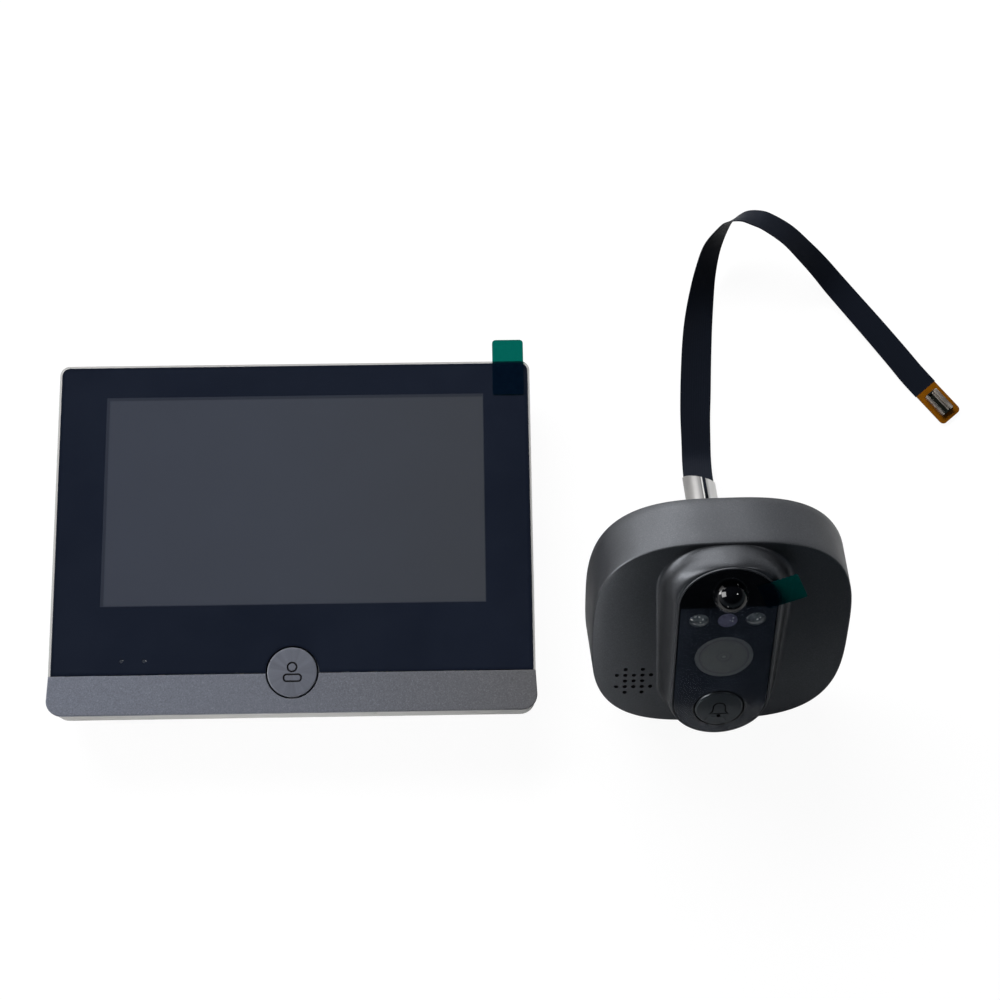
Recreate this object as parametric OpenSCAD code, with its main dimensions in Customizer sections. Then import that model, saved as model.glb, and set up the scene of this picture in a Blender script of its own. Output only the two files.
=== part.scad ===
// Peephole door camera in two units, laid out on a table.
// The indoor monitor lies on its back, screen up. The outdoor camera unit leans
// on the lower edge of its rim and on the end of its tube, and its flat ribbon
// runs from the tube in a low arch to the board connector on its far end.
// X is to the right, Y away from the viewer, Z up, millimetres.

/* [Monitor] */
// Width of the monitor
mon_w = 119.7; // [117:0.1:123]
// Height of the monitor's front
mon_h = 89.4; // [88:0.1:92]
// Corner radius at the top of the front
mon_rt = 2.4; // [1.5:0.1:4]
// Corner radius at the bottom of the front
mon_rb = 3.8; // [2:0.1:6]
// Width of the thin frame line round the glass
mon_rim = 0.55; // [0.3:0.01:0.8]
// How much wider than the frame the chin strip gets at its lower end
chin_flare = 0.3; // [0:0.05:0.5]
// Height of the chin strip's upper edge, from the middle of the front
chin_y = -34.97; // [-36:0.01:-34]
// Radius of the push button
btn_r = 6.12; // [5:0.02:6.3]
// Gap round the push button
btn_gap = 0.38; // [0.3:0.02:0.8]
// Travel of the push button
btn_travel = 0.5; // [0.3:0.05:0.5]

/* [Display] */
// Width of the display cell
lcd_w = 103; // [98:0.5:105]
// Height of the display cell
lcd_h = 65.6; // [60:0.1:67]

/* [Outdoor unit] */
// Half width of the housing at its back
cam_a = 31.2; // [30.8:0.1:32]
// Half width of the housing at its front edge
cam_af = 30.5; // [30.4:0.1:31]
// Roundness exponent of the outline at the back
cam_m = 2.95; // [2.5:0.05:3.5]
// Roundness exponent of the outline at the front
cam_mf = 3.1; // [2.5:0.05:3.5]
// Depth of the rim
cam_d = 14.7; // [14:0.1:15]
// Height of the front panel's face above the back
pan_s = 21.5; // [21.3:0.1:22]
// Half width of the front panel
pan_hw = 11.25; // [11:0.05:11.5]
// Upper end of the front panel
pan_qt = 28.6; // [28:0.1:28.8]
// Lower end of the front panel
pan_qb = -26.9; // [-27:0.1:-26.5]
// Lean of the front: its normal's angle above the table
cam_tilt = 33.5; // [30:0.5:36]
// Turn of the unit about the vertical
cam_yaw = 1.15; // [0:0.05:3]
// Radius of the doorbell button
bell_r = 5.88; // [5:0.02:5.9]
// Travel of the doorbell button
bell_travel = 0.5; // [0.3:0.05:0.5]
// Hole radius of the speaker grille
grille_r = 0.52; // [0.4:0.02:0.7]
// Pitch of the speaker grille
grille_pitch = 2.07; // [1.8:0.01:2.2]

/* [Tube and ribbon] */
// Outside radius of the tube
tube_r = 4.05; // [4.05:0.05:4.3]
// Inside radius of the tube
tube_ri = 3.86; // [3.85:0.01:3.9]
// Width of the tube's long slit
slit_w = 0.9; // [0.4:0.1:1]
// How far the slanted cut of the tube's end runs back from bottom to middle
tube_cut = 2.6; // [0:0.1:3]
// Width of the ribbon in the tube
rib_w = 7.6; // [7:0.1:7.6]
// Width of the ribbon where it lies open
rib_wm = 8.1; // [7.6:0.1:8.2]
// Width of the ribbon at its plug
rib_w2 = 7; // [6.5:0.1:7.6]
// Thickness of the ribbon
rib_t = 0.25; // [0.2:0.05:0.3]

/* [Hidden] */
$fn = 64;

// where the two units lie; the origin is under the middle of both
mon_at = [-37.4, 0.5, 0];
cam_z = cam_a * cos(cam_tilt);
cam_at = [65.7, -17.55, cam_z];
// the tube stands a little off the middle of the back
tube_at = [0.9, 0.7, 0];
// its underside is as long as it takes to reach the table
tube_l = (cam_a + tube_at[1] - tube_r) / tan(cam_tilt) - 0.1;

// heights in the monitor
z_top = 16;
z_glass = 14.8;
z_frame = 6.6;
z_frame_top = 15.75;
z_board = 10.2;
z_board_top = 11.4;
btn_y = -34.8;
gl_w = mon_w - 2 * mon_rim;
gl_top = mon_h / 2 - mon_rim;
screw_x = 50.6;
screw_y = 35.6;
dots = [[-42, -31.5], [-36.4, -31.5]];

// places on the outdoor unit's panel
dome_at = [0.2, 20.5];
led_q = 12.2;
led_p = 6.6;
lens_at = [0, -0.2];
bell_at = [0, -18.25];
posts = [[-22, 16], [22, 16], [-12.5, -24], [12.5, -24]];
grille_at = [-20.2, -14.6];
grille_rows = [[-1, 1], [-2, -1, 0, 1, 2], [-1, 0, 1], [-2, -1, 0, 1, 2], [-1, 1]];

// ---- outlines ----
function arc(c, r, a0, a1, n) = [for (i = [0:n]) c + r * [cos(a0 + (a1 - a0) * i / n), sin(a0 + (a1 - a0) * i / n)]];
// rounded rectangle about the origin, with its own radius at the top and bottom corners
function rrect(w, h, rt, rb, n = 8) = concat(
  arc([w / 2 - rt, h / 2 - rt], rt, 0, 90, n), arc([-w / 2 + rt, h / 2 - rt], rt, 90, 180, n),
  arc([-w / 2 + rb, -h / 2 + rb], rb, 180, 270, n), arc([w / 2 - rb, -h / 2 + rb], rb, 270, 360, n));
function squircle(a, m, n = 96) = [for (i = [0:n - 1])
  let (t = 360 * i / n, c = cos(t), s = sin(t))
  [a * sign(c) * pow(abs(c), 2 / m), a * sign(s) * pow(abs(s), 2 / m)]];
// upright capsule from q0 to q1
function capsule(hw, q0, q1, n = 24) = concat(arc([0, q1 - hw], hw, 0, 180, n), arc([0, q0 + hw], hw, 180, 360, n));
// the panel's capsule grown by g
function pan(g) = capsule(pan_hw + g, pan_qb - g, pan_qt + g);

module plate(pts, z0, z1) { translate([0, 0, z0]) linear_extrude(z1 - z0) polygon(pts); }
module box(x0, x1, y0, y1, z0, z1) { translate([x0, y0, z0]) cube([x1 - x0, y1 - y0, z1 - z0]); }
module rod(p, r, z0, z1) { translate([p[0], p[1], z0]) cylinder(r = r, h = z1 - z0); }
module mon() { translate(mon_at) children(); }
module cam() { translate(cam_at) rotate([90 - cam_tilt, 0, cam_yaw]) children(); }

// ---- indoor monitor ----
module hang_slot(x) {
  for (d = [-3, 3]) rod([x + d, 33], 1.5, -1, 3);
  box(x - 3, x + 3, 31.5, 34.5, -1, 3);
}

module monitor_rear_cover() {
  color([0.62, 0.61, 0.59]) mon() difference() {
    union() {
      difference() {
        union() {
          plate(rrect(111, 81.1, 4, 4), 0, 6);
          plate(rrect(mon_w - 1.6, mon_h - 1.6, mon_rt, mon_rb), 5.4, z_frame);
        }
        plate(rrect(107.8, 77.9, 2.4, 2.4), 1.6, 8);
      }
      for (x = [-1, 1], y = [-1, 1]) {
        rod([x * screw_x, y * screw_y], 3.2, 1, z_frame);
        rod([x * 43, y * 34], 2, 1, z_board);
      }
    }
    for (x = [-1, 1], y = [-1, 1]) {
      rod([x * screw_x, y * screw_y], 2.1, -1, 2.2);
      rod([x * screw_x, y * screw_y], 1.1, -1, 8);
    }
    hang_slot(-30);
    hang_slot(30);
    // window for the ribbon's plug
    box(25, 43, 10, 22, -1, 3);
    // loudspeaker slits
    for (i = [-2:2]) box(28, 44, -20.6 + 3 * i, -19.4 + 3 * i, -1, 3);
  }
}

module monitor_frame() {
  color([0.66, 0.64, 0.61]) mon() difference() {
    union() {
      difference() {
        plate(rrect(mon_w, mon_h, mon_rt, mon_rb), z_frame, z_frame_top);
        plate(rrect(gl_w + 0.04, mon_h - 2 * mon_rim + 0.04, mon_rt - 0.4, mon_rb - 0.4), z_glass, z_top + 1);
        // the chin strip lies on the lower wall
        box(-mon_w, mon_w, -mon_h, chin_y, z_glass, z_top + 1);
        plate(rrect(112, 82, 2, 2), z_frame - 1, z_top);
      }
      for (x = [-1, 1], y = [-1, 1])
        box(min(x * 46.8, x * 56.2), max(x * 46.8, x * 56.2), min(y * 31.8, y * 41.2), max(y * 31.8, y * 41.2), z_frame, 10.4);
    }
    for (x = [-1, 1], y = [-1, 1]) rod([x * screw_x, y * screw_y], 1.05, z_frame - 1, 10);
    // charging port
    translate([55, 12, 8.6]) rotate([0, 90, 0]) {
      for (d = [-2.9, 2.9]) translate([0, d, 0]) cylinder(r = 1.75, h = 6);
      translate([-1.75, -2.9, 0]) cube([3.5, 5.8, 6]);
    }
    // microphone hole
    translate([20, -46, 12.6]) rotate([-90, 0, 0]) cylinder(r = 0.6, h = 6);
  }
}

module monitor_glass() {
  color([0.09, 0.11, 0.15]) mon() difference() {
    intersection() {
      plate(rrect(gl_w, mon_h - 2 * mon_rim, mon_rt - 0.42, 1), z_glass, z_top);
      box(-mon_w, mon_w, chin_y + 0.07, mon_h, 0, 20);
    }
    rod([0, btn_y], btn_r + btn_gap, 10, 20);
    for (d = dots) rod(d, 0.45, 10, 20);
  }
}

// strip with half width w0 at its top edge y1, w1 further down, and rounded lower corners
function chin_outline(w0, w1, y1, y0, r) = concat([[w0, y1], [-w0, y1]],
  arc([-w1 + r, y0 + r], r, 180, 270, 8), arc([w1 - r, y0 + r], r, 270, 360, 8));

module monitor_chin() {
  color([0.42, 0.43, 0.47]) mon() difference() {
    plate(chin_outline(mon_w / 2, mon_w / 2 + chin_flare, chin_y - 0.07, -mon_h / 2 - 0.05, mon_rb), z_glass, z_top);
    rod([0, btn_y], btn_r + btn_gap, 10, 20);
  }
}

module monitor_button() {
  color([0.43, 0.44, 0.48]) mon() translate([0, btn_y, 0]) difference() {
    rotate_extrude() polygon([[0, 13.2], [4.5, 13.2], [4.5, 14.55], [btn_r, 14.55], [btn_r, 15.95], [btn_r - 0.45, 16.35], [0, 16.35]]);
    // head and shoulders, engraved as outlines
    translate([0, 1.25, 16.15]) difference() { cylinder(r = 1.3, h = 1); translate([0, 0, -1]) cylinder(r = 0.92, h = 3); }
    translate([0.1, -1.4, 0]) difference() {
      plate(rrect(4.7, 2.1, 1, 0.4), 16.15, 17);
      plate(rrect(3.94, 1.34, 0.62, 0.2), 16, 18);
    }
  }
}

module monitor_button_guide() {
  color([0.07, 0.07, 0.08]) mon() difference() {
    box(-12, 12, -40.9, -28.7, z_board_top, 13.9);
    rod([0, btn_y], 4.55, 10, 20);
  }
}

module monitor_button_switch() {
  color([0.75, 0.76, 0.78]) mon() difference() {
    box(-3, 3, btn_y - 3, btn_y + 3, z_board_top, 12.6);
    rod([0, btn_y], 1.55, 11.6, 20);
  }
}

module monitor_button_plunger() { color([0.9, 0.9, 0.88]) mon() rod([0, btn_y], 1.5, 12.2, 13.2); }

module monitor_display() {
  color([0.25, 0.27, 0.3]) mon() translate([0, 6.3, 0]) plate(rrect(lcd_w, lcd_h, 0.5, 0.5, 2), 13.7, z_glass);
}

module monitor_backlight() {
  color([0.78, 0.79, 0.8]) mon() difference() {
    box(-52.75, 52.75, -27.6, 39.6, 11.7, 13.7);
    // pull-back along the edges of the pressed tray
    for (x = [-40:20:40]) box(x - 3, x + 3, 39, 40, 11, 12.4);
  }
}

module monitor_main_board() {
  color([0.05, 0.32, 0.2]) mon() difference() {
    plate([[-52, -30], [-46, -30], [-46, -39], [46, -39], [46, -30], [52, -30], [52, 30], [46, 30], [46, 39], [-46, 39], [-46, 30], [-52, 30]], z_board, z_board_top);
    for (x = [-1, 1], y = [-1, 1]) rod([x * 43, y * 34], 1, 9, 12);
  }
}

module monitor_battery() {
  color([0.75, 0.76, 0.8]) mon() union() {
    translate([-14, 2, 0]) plate(rrect(60, 44, 2.5, 2.5), 1.6, 8.2);
    translate([-14, 25.2, 0]) plate(rrect(24, 3, 0.3, 0.3, 2), 3, 6);
  }
}

module monitor_speaker() {
  color([0.12, 0.12, 0.13]) mon() translate([36, -20, 0]) union() {
    plate(rrect(26, 18, 4, 4), 1.6, 5.6);
    plate(rrect(16, 10, 3, 3), 5.6, 7);
  }
}

module monitor_microphone() { color([0.8, 0.78, 0.7]) mon() box(18.1, 21.9, -38.6, -35.6, z_board_top, 12.5); }

module monitor_status_leds() {
  color([0.95, 0.93, 0.85]) mon() for (d = dots) box(d[0] - 0.8, d[0] + 0.8, d[1] - 0.4, d[1] + 0.4, z_board_top, 11.9);
}

module monitor_light_pipes() { color([0.6, 0.62, 0.66]) mon() for (d = dots) rod(d, 0.4, 11.9, z_top); }

module monitor_charge_socket() {
  color([0.75, 0.75, 0.77]) mon() translate([50.5, 12, 8.6]) rotate([0, 90, 0]) difference() {
    union() {
      for (d = [-2.87, 2.87]) translate([0, d, 0]) cylinder(r = 1.6, h = 8.7);
      translate([-1.6, -2.87, 0]) cube([3.2, 5.74, 8.7]);
    }
    translate([0, 0, 1.5]) {
      for (d = [-2.87, 2.87]) translate([0, d, 0]) cylinder(r = 1.3, h = 9);
      translate([-1.3, -2.87, 0]) cube([2.6, 5.74, 9]);
    }
  }
}

module monitor_ribbon_socket() {
  color([0.85, 0.8, 0.66]) mon() difference() {
    box(30, 38, 13.5, 18.5, 8.6, z_board);
    box(31, 37, 15.2, 16.8, 8, 9.6);
  }
}

module monitor_rear_screws() {
  color([0.3, 0.3, 0.32]) mon() for (x = [-1, 1], y = [-1, 1]) difference() {
    union() {
      rod([x * screw_x, y * screw_y], 1.9, 0.6, 2.2);
      rod([x * screw_x, y * screw_y], 1, 2, 9.6);
    }
    translate([x * screw_x, y * screw_y, 0]) {
      box(-1.1, 1.1, -0.25, 0.25, 0, 1.3);
      box(-0.25, 0.25, -1.1, 1.1, 0, 1.3);
    }
  }
}

module monitor_film() {
  color([0.8, 0.85, 0.9, 0.15]) mon() difference() {
    translate([0, (gl_top + chin_y) / 2, 0]) plate(rrect(gl_w - 1.5, gl_top - chin_y - 1.4, 1, 0.6), z_top + 0.02, z_top + 0.1);
    rod([0, btn_y], btn_r + 0.9, 10, 20);
  }
}

module monitor_film_tab() {
  color([0, 0.42, 0.35]) mon() translate([54.35, 43, 0]) plate(rrect(7.9, 14.6, 0.9, 0.5, 4), z_top + 0.1, z_top + 0.22);
}

// ---- outdoor camera unit: x right, y up the front, z out of the front, 0 at the back ----
module camera_housing() {
  color([0.24, 0.25, 0.27]) cam() difference() {
    union() {
      difference() {
        union() {
          hull() {
            plate(squircle(cam_a, cam_m), 0, 0.1);
            plate(squircle(cam_af, cam_mf), cam_d - 0.1, cam_d);
          }
          intersection() {
            union() {
              hull() {
                plate(pan(2.9), cam_d - 0.2, cam_d - 0.1);
                plate(pan(0.9), 18.4, 18.5);
              }
              hull() {
                plate(pan(0.9), 18.4, 18.5);
                plate(pan(0.35), pan_s - 0.1, pan_s);
              }
            }
            plate(squircle(cam_af - 1.5, cam_mf), cam_d - 1, pan_s + 1);
          }
        }
        plate(squircle(28.9, cam_m), -1, 2.8);
        plate(squircle(27.6, cam_m), -1, 12.5);
      }
      for (p = posts) rod(p, 2.4, 2, 13);
    }
    for (p = posts) rod(p, 0.85, 1, 10);
    plate(capsule(8.8, pan_qb + 2.45, pan_qt - 2.45), 12, 16);
    plate(capsule(9.8, pan_qb + 1.45, pan_qt - 1.45), 15, 22);
    plate(pan(0.06), 20, 23);
    for (j = [0:4], i = grille_rows[j])
      rod(grille_at + grille_pitch * [i, 2 - j], grille_r, 12, 16);
  }
}

module camera_panel() {
  color([0.03, 0.03, 0.04]) cam() difference() {
    plate(pan(0), 20, pan_s);
    rod(dome_at, 4.15, 19, 23);
    for (d = [-1, 0, 1]) rod([d * led_p, led_q], d == 0 ? 2.35 : 2.45, 19, 23);
    rod(lens_at, 6.95, 19, 23);
    rod(bell_at, bell_r + 0.27, 19, 23);
  }
}

module camera_sensor_dome() {
  color([0.02, 0.02, 0.03]) cam() translate([dome_at[0], dome_at[1], 0]) difference() {
    union() {
      translate([0, 0, 19]) cylinder(r = 5, h = 1);
      translate([0, 0, 19.5]) cylinder(r = 4.08, h = 1.9);
      intersection() {
        translate([0, 0, 21.4]) sphere(r = 4.08);
        translate([0, 0, 21.4]) cylinder(r = 5, h = 5);
      }
    }
    translate([0, 0, 18]) cylinder(r = 3.4, h = 3.4);
    translate([0, 0, 21.4]) sphere(r = 3.4);
  }
}

module camera_motion_sensor() {
  color([0.72, 0.72, 0.7]) cam() translate([dome_at[0], dome_at[1], 0]) union() {
    translate([0, 0, 16]) cylinder(r = 3.2, h = 0.6);
    translate([0, 0, 16]) cylinder(r = 2.9, h = 4.4);
  }
}

module camera_ir_leds() {
  color([0.72, 0.75, 0.76]) cam() for (d = [-1, 1]) translate([d * led_p, led_q, 0]) union() {
    translate([0, 0, 16]) cylinder(r = 2.7, h = 1);
    translate([0, 0, 16.5]) cylinder(r = 2.4, h = 4);
    intersection() {
      translate([0, 0, 15.4]) sphere(r = 6.1);
      translate([0, 0, 20]) cylinder(r = 2.4, h = 2);
    }
  }
}

module camera_light_sensor() {
  color([0.35, 0.33, 0.42]) cam() translate([0, led_q, 0]) union() {
    box(-2, 2, -2, 2, 16, 19.7);
    translate([0, 0, 19.5]) cylinder(r = 2.3, h = 1.85);
  }
}

module camera_lens_window() { color([0.36, 0.36, 0.36, 0.6]) cam() rod(lens_at, 6.88, 20.3, 21.35); }

module camera_lens_shroud() {
  color([0.1, 0.1, 0.11]) cam() translate([lens_at[0], lens_at[1], 0])
    rotate_extrude() polygon([[2.6, 19.2], [6.9, 19.2], [6.9, 20.3], [6, 20.3], [6, 19.9], [4.6, 19.9], [4.6, 19.6], [2.6, 19.6]]);
}

module camera_lens_element() {
  color([0.2, 0.24, 0.3, 0.7]) cam() translate([lens_at[0], lens_at[1], 0]) union() {
    translate([0, 0, 18]) cylinder(r = 2.2, h = 0.7);
    intersection() {
      translate([0, 0, 16.2]) sphere(r = 3.2);
      translate([0, 0, 18.4]) cylinder(r = 2.2, h = 1.2);
    }
  }
}

module camera_lens_barrel() {
  color([0.08, 0.08, 0.08]) cam() translate([lens_at[0], lens_at[1], 0]) difference() {
    translate([0, 0, 8]) cylinder(r = 4.1, h = 11.2);
    translate([0, 0, 18]) cylinder(r = 2.25, h = 3);
    translate([0, 0, 7]) cylinder(r = 2, h = 9);
  }
}

module camera_lens_holder() {
  color([0.1, 0.1, 0.1]) cam() translate([lens_at[0], lens_at[1], 0]) difference() {
    box(-6.5, 6.5, -6.5, 6.5, 7.2, 11);
    translate([0, 0, 8]) cylinder(r = 4.12, h = 9);
    translate([0, 0, 6]) cylinder(r = 3.4, h = 9);
  }
}

module camera_image_board() {
  color([0.05, 0.3, 0.2]) cam() translate([lens_at[0], lens_at[1], 0]) union() {
    box(-7.5, 7.5, -7.5, 7.5, 6.2, 7.2);
    box(-2.2, 2.2, -2, 2, 7.1, 7.8);
  }
}

module camera_front_board() {
  color([0.05, 0.3, 0.2]) cam() difference() {
    plate(capsule(9.6, pan_qb + 1.65, pan_qt - 1.65), 15, 16);
    rod(lens_at, 4.6, 14, 17);
  }
}

module camera_main_board() { color([0.05, 0.3, 0.2]) cam() plate(rrect(38, 40, 2, 2, 4), 5, 6.2); }

module camera_board_connector() { color([0.85, 0.8, 0.66]) cam() translate(tube_at) box(-5, 5, -1.5, 1.5, 3.6, 5); }

module camera_bell_button() {
  color([0.17, 0.18, 0.19]) cam() translate([bell_at[0], bell_at[1], 0]) difference() {
    rotate_extrude() polygon([[0, 18], [4, 18], [4, 20], [bell_r, 20], [bell_r, 21.5], [bell_r - 0.35, 21.85], [0, 21.85]]);
    // engraved bell outline: body, rim line and clapper
    translate([0, 0.9, 21.65]) difference() {
      linear_extrude(1) bell2d(0);
      translate([0, 0, -1]) linear_extrude(3) bell2d(0.36);
    }
    box(-2.5, 2.5, -1.95, -1.6, 21.65, 23);
    translate([0, -2.35, 21.65]) cylinder(r = 0.5, h = 1);
  }
}

// bell body, drawn in by g
module bell2d(g) {
  polygon(concat(arc([0, 0], 1.6 - g, 0, 180, 16),
    [[-1.7 + g, -1.4], [-2.4 + 1.3 * g, -2.5 + g / 4], [2.4 - 1.3 * g, -2.5 + g / 4], [1.7 - g, -1.4]]));
}

module camera_bell_guide() {
  color([0.08, 0.08, 0.08]) cam() translate([bell_at[0], bell_at[1], 0]) difference() {
    translate([0, 0, 16]) cylinder(r = 6.9, h = 3.3);
    translate([0, 0, 15]) cylinder(r = 4.05, h = 6);
  }
}

module camera_bell_switch() {
  color([0.75, 0.76, 0.78]) cam() translate([bell_at[0], bell_at[1], 0]) difference() {
    box(-2.5, 2.5, -2.5, 2.5, 16, 17.3);
    translate([0, 0, 16.3]) cylinder(r = 1.3, h = 3);
  }
}

module camera_bell_plunger() { color([0.9, 0.9, 0.88]) cam() rod(bell_at, 1.25, 16.9, 18); }

module camera_speaker() {
  color([0.12, 0.12, 0.13]) cam() translate([-18.6, -13.9, 0]) union() {
    translate([0, 0, 10.6]) cylinder(r = 7, h = 1.9);
    translate([0, 0, 8.4]) cylinder(r = 4.6, h = 3);
  }
}

module camera_rear_plate() {
  color([0.14, 0.14, 0.15]) cam() difference() {
    plate(squircle(28.75, cam_m), 0, 2);
    translate(tube_at) translate([0, 0, -1]) cylinder(r = 4.75, h = 5);
    for (p = posts) {
      rod(p, 1, -1, 5);
      rod(p, 2, -1, 1.1);
    }
  }
}

module camera_seal() {
  color([0.05, 0.05, 0.05]) cam() difference() {
    plate(squircle(28.75, cam_m), 2, 2.8);
    plate(squircle(27.75, cam_m), 1, 4);
  }
}

module camera_rear_screws() {
  color([0.6, 0.6, 0.62]) cam() for (p = posts) difference() {
    union() {
      rod(p, 1.8, 0.1, 1.1);
      rod(p, 0.8, 1, 8.5);
    }
    translate([p[0], p[1], 0]) {
      box(-1, 1, -0.2, 0.2, 0, 0.6);
      box(-0.2, 0.2, -1, 1, 0, 0.6);
    }
  }
}

module camera_mount_pad() {
  color([0.1, 0.1, 0.1]) cam() difference() {
    plate(squircle(27, cam_m), -1, 0);
    translate(tube_at) translate([0, 0, -2]) cylinder(r = 6.5, h = 4);
    for (p = posts) rod(p, 2.4, -2, 1);
  }
}

module camera_tube() {
  color([0.8, 0.79, 0.78]) cam() translate(tube_at) difference() {
    union() {
      translate([0, 0, -tube_l]) cylinder(r = tube_r, h = tube_l + 2);
      // collar through the rear plate, and the flange behind it
      translate([0, 0, -1]) cylinder(r = 4.7, h = 3.5);
      translate([0, 0, 2]) cylinder(r = 7, h = 1.2);
    }
    translate([0, 0, -tube_l - 1]) cylinder(r = tube_ri, h = tube_l + 10);
    rotate([0, 0, -10]) translate([-slit_w / 2, 2, -tube_l - 1]) cube([slit_w, 4, tube_l - 0.5]);
    // slanted end: the top is shorter than the bottom, and the right than the left
    translate([0, -tube_r, -tube_l]) rotate([atan2(tube_cut, tube_r), -20, 0]) translate([-10, -5, -10]) cube([20, 20, 10]);
  }
}

module camera_film() {
  color([0.8, 0.85, 0.9, 0.15]) cam() difference() {
    plate(pan(-0.2), pan_s + 0.02, pan_s + 0.1);
    // it ends just under the dome
    box(-20, 20, 16.6, 40, 20, 23);
    rod(dome_at, 4.5, 20, 23);
    rod(bell_at, bell_r + 0.5, 20, 23);
  }
}

// pull tab cut from serrated tape
module camera_film_tab() {
  color([0, 0.3, 0.26]) cam() translate([11.6, 21.35, 0]) rotate([0, 0, 22.8])
    plate(concat(arc([4.6, -3.6], 0.4, -90, 0, 4), [for (i = [0:19]) [5 - 0.5 * i, i % 2 == 0 ? 3.75 : 4]], arc([-4.1, -3.6], 0.4, 180, 270, 4)), pan_s + 0.1, pan_s + 0.22);
}

// ---- ribbon ----
// Route outside the tube: middle of the ribbon, then the turn and the rise of its width line.
// It comes out of the tube, lies on the table, rises into a low arch and lies down again.
route = [
  [66, 19.5, 2.4, 0, 0], [66.1, 23, 1, 0, 0], [66.2, 27, 0.6, 0, 0], [66.3, 34, 0.6, 0, 0],
  [66.6, 40, 0.7, 0, -2], [67, 47, 0.9, -2, -6], [67.5, 54, 1.2, -3, -11], [68.1, 60, 1.7, -3, -19],
  [69.1, 67, 2.8, 0, -31], [70.2, 73, 4.5, 3, -42], [72, 79, 6.8, 12, -50], [75, 83.5, 9.6, 37, -57],
  [77, 85, 11, 52, -54], [80, 85.5, 12.4, 65, -45], [83, 84.8, 13, 69, -34], [86, 83.6, 13, 68, -27],
  [91.4, 80.6, 11.4, 65, -20], [96.4, 77, 8.2, 60, -14], [100.5, 74, 5, 54, -10], [104.5, 70.3, 2.3, 46, -8],
  [108.5, 65.8, 1.1, 41, -7], [114.5, 58.2, 0.7, 40, -4], [120.4, 50.4, 0.5, 40, -2], [124.2, 45.2, 0.4, 41, 0], [127.6, 41, 0.35, 42, 0]
];
// points along the tube's axis, from the board connector to the mouth
cam_p = [cos(cam_yaw), sin(cam_yaw), 0];
cam_n = [sin(cam_yaw) * cos(cam_tilt), -cos(cam_yaw) * cos(cam_tilt), sin(cam_tilt)];
function on_axis(s) = cam_at + tube_at[0] * cam_p + tube_at[1] * cross(cam_n, cam_p) + s * cam_n;
inside = [for (s = [3.6, -8, -20, -32, -40]) concat(on_axis(s), [cam_yaw, 0])];
keys = concat(inside, route);
nk = len(keys);
function key(i) = keys[max(0, min(nk - 1, i))];
function mid(i, f) = (-pow(f, 3) + 2 * f * f - f) / 2 * key(i - 1) + (3 * pow(f, 3) - 5 * f * f + 2) / 2 * key(i)
  + (-3 * pow(f, 3) + 4 * f * f + f) / 2 * key(i + 1) + (pow(f, 3) - f * f) / 2 * key(i + 2);
rings = concat([for (i = [0:nk - 2], f = [0, 0.5]) mid(i, f)], [keys[nk - 1]]);
nr = len(rings);
function xyz(v) = [v[0], v[1], v[2]];
function unit(v) = v / norm(v);
function along(i) = unit(xyz(rings[min(nr - 1, i + 1)]) - xyz(rings[max(0, i - 1)]));
function across(i) = let (a = rings[i][3], e = rings[i][4], r = [cos(a) * cos(e), sin(a) * cos(e), sin(e)], t = along(i)) unit(r - (r * t) * t);
// how far ring i is on its way from ring a to ring b, smoothed
function blend(i, a, b) = let (f = max(0, min(1, (i - a) / (b - a)))) f * f * (3 - 2 * f);
function rib_hw(i) = (rib_w + (rib_wm - rib_w) * blend(i, 13, 19) + (rib_w2 - rib_wm) * blend(i, 0.55 * nr, 0.8 * nr)) / 2;
function ring(i) = let (c = xyz(rings[i]), r = across(i), n = cross(r, along(i)))
  concat([for (v = [-1, -1 / 3, 1 / 3, 1]) c + v * rib_hw(i) * r + rib_t / 2 * n],
         [for (v = [1, 1 / 3, -1 / 3, -1]) c + v * rib_hw(i) * r - rib_t / 2 * n]);

module camera_ribbon() {
  color([0.08, 0.09, 0.12]) polyhedron(
    points = [for (i = [0:nr - 1]) each ring(i)],
    faces = concat([[7, 6, 5, 4, 3, 2, 1, 0]], [[for (k = [0:7]) 8 * (nr - 1) + k]],
      [for (i = [0:nr - 2], k = [0:7]) [8 * i + k, 8 * i + (k + 1) % 8, 8 * i + 8 + (k + 1) % 8]],
      [for (i = [0:nr - 2], k = [0:7]) [8 * i + k, 8 * i + 8 + (k + 1) % 8, 8 * i + 8 + k]]));
}

// the stiffened end carries on from the ribbon's last ring
end_at = route[len(route) - 1];
end_turn = atan2(along(nr - 1)[1], along(nr - 1)[0]);
module at_end() { translate([end_at[0], end_at[1], 0]) rotate([0, 0, end_turn]) children(); }

module ribbon_end() { color([0.6, 0.33, 0.04]) at_end()
  plate(concat([[0, -3.25]], arc([9, -2.05], 1.2, -90, 0, 6), arc([9, 2.05], 1.2, 0, 90, 6), [[0, 3.25]]), 0.1, 0.6); }

module ribbon_plug() {
  color([0.82, 0.78, 0.68]) at_end() difference() {
    box(1.8, 8.2, -1.85, 1.85, 0.6, 1.9);
    box(2.5, 7.5, -0.55, 0.55, 1.1, 3);
  }
}

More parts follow.
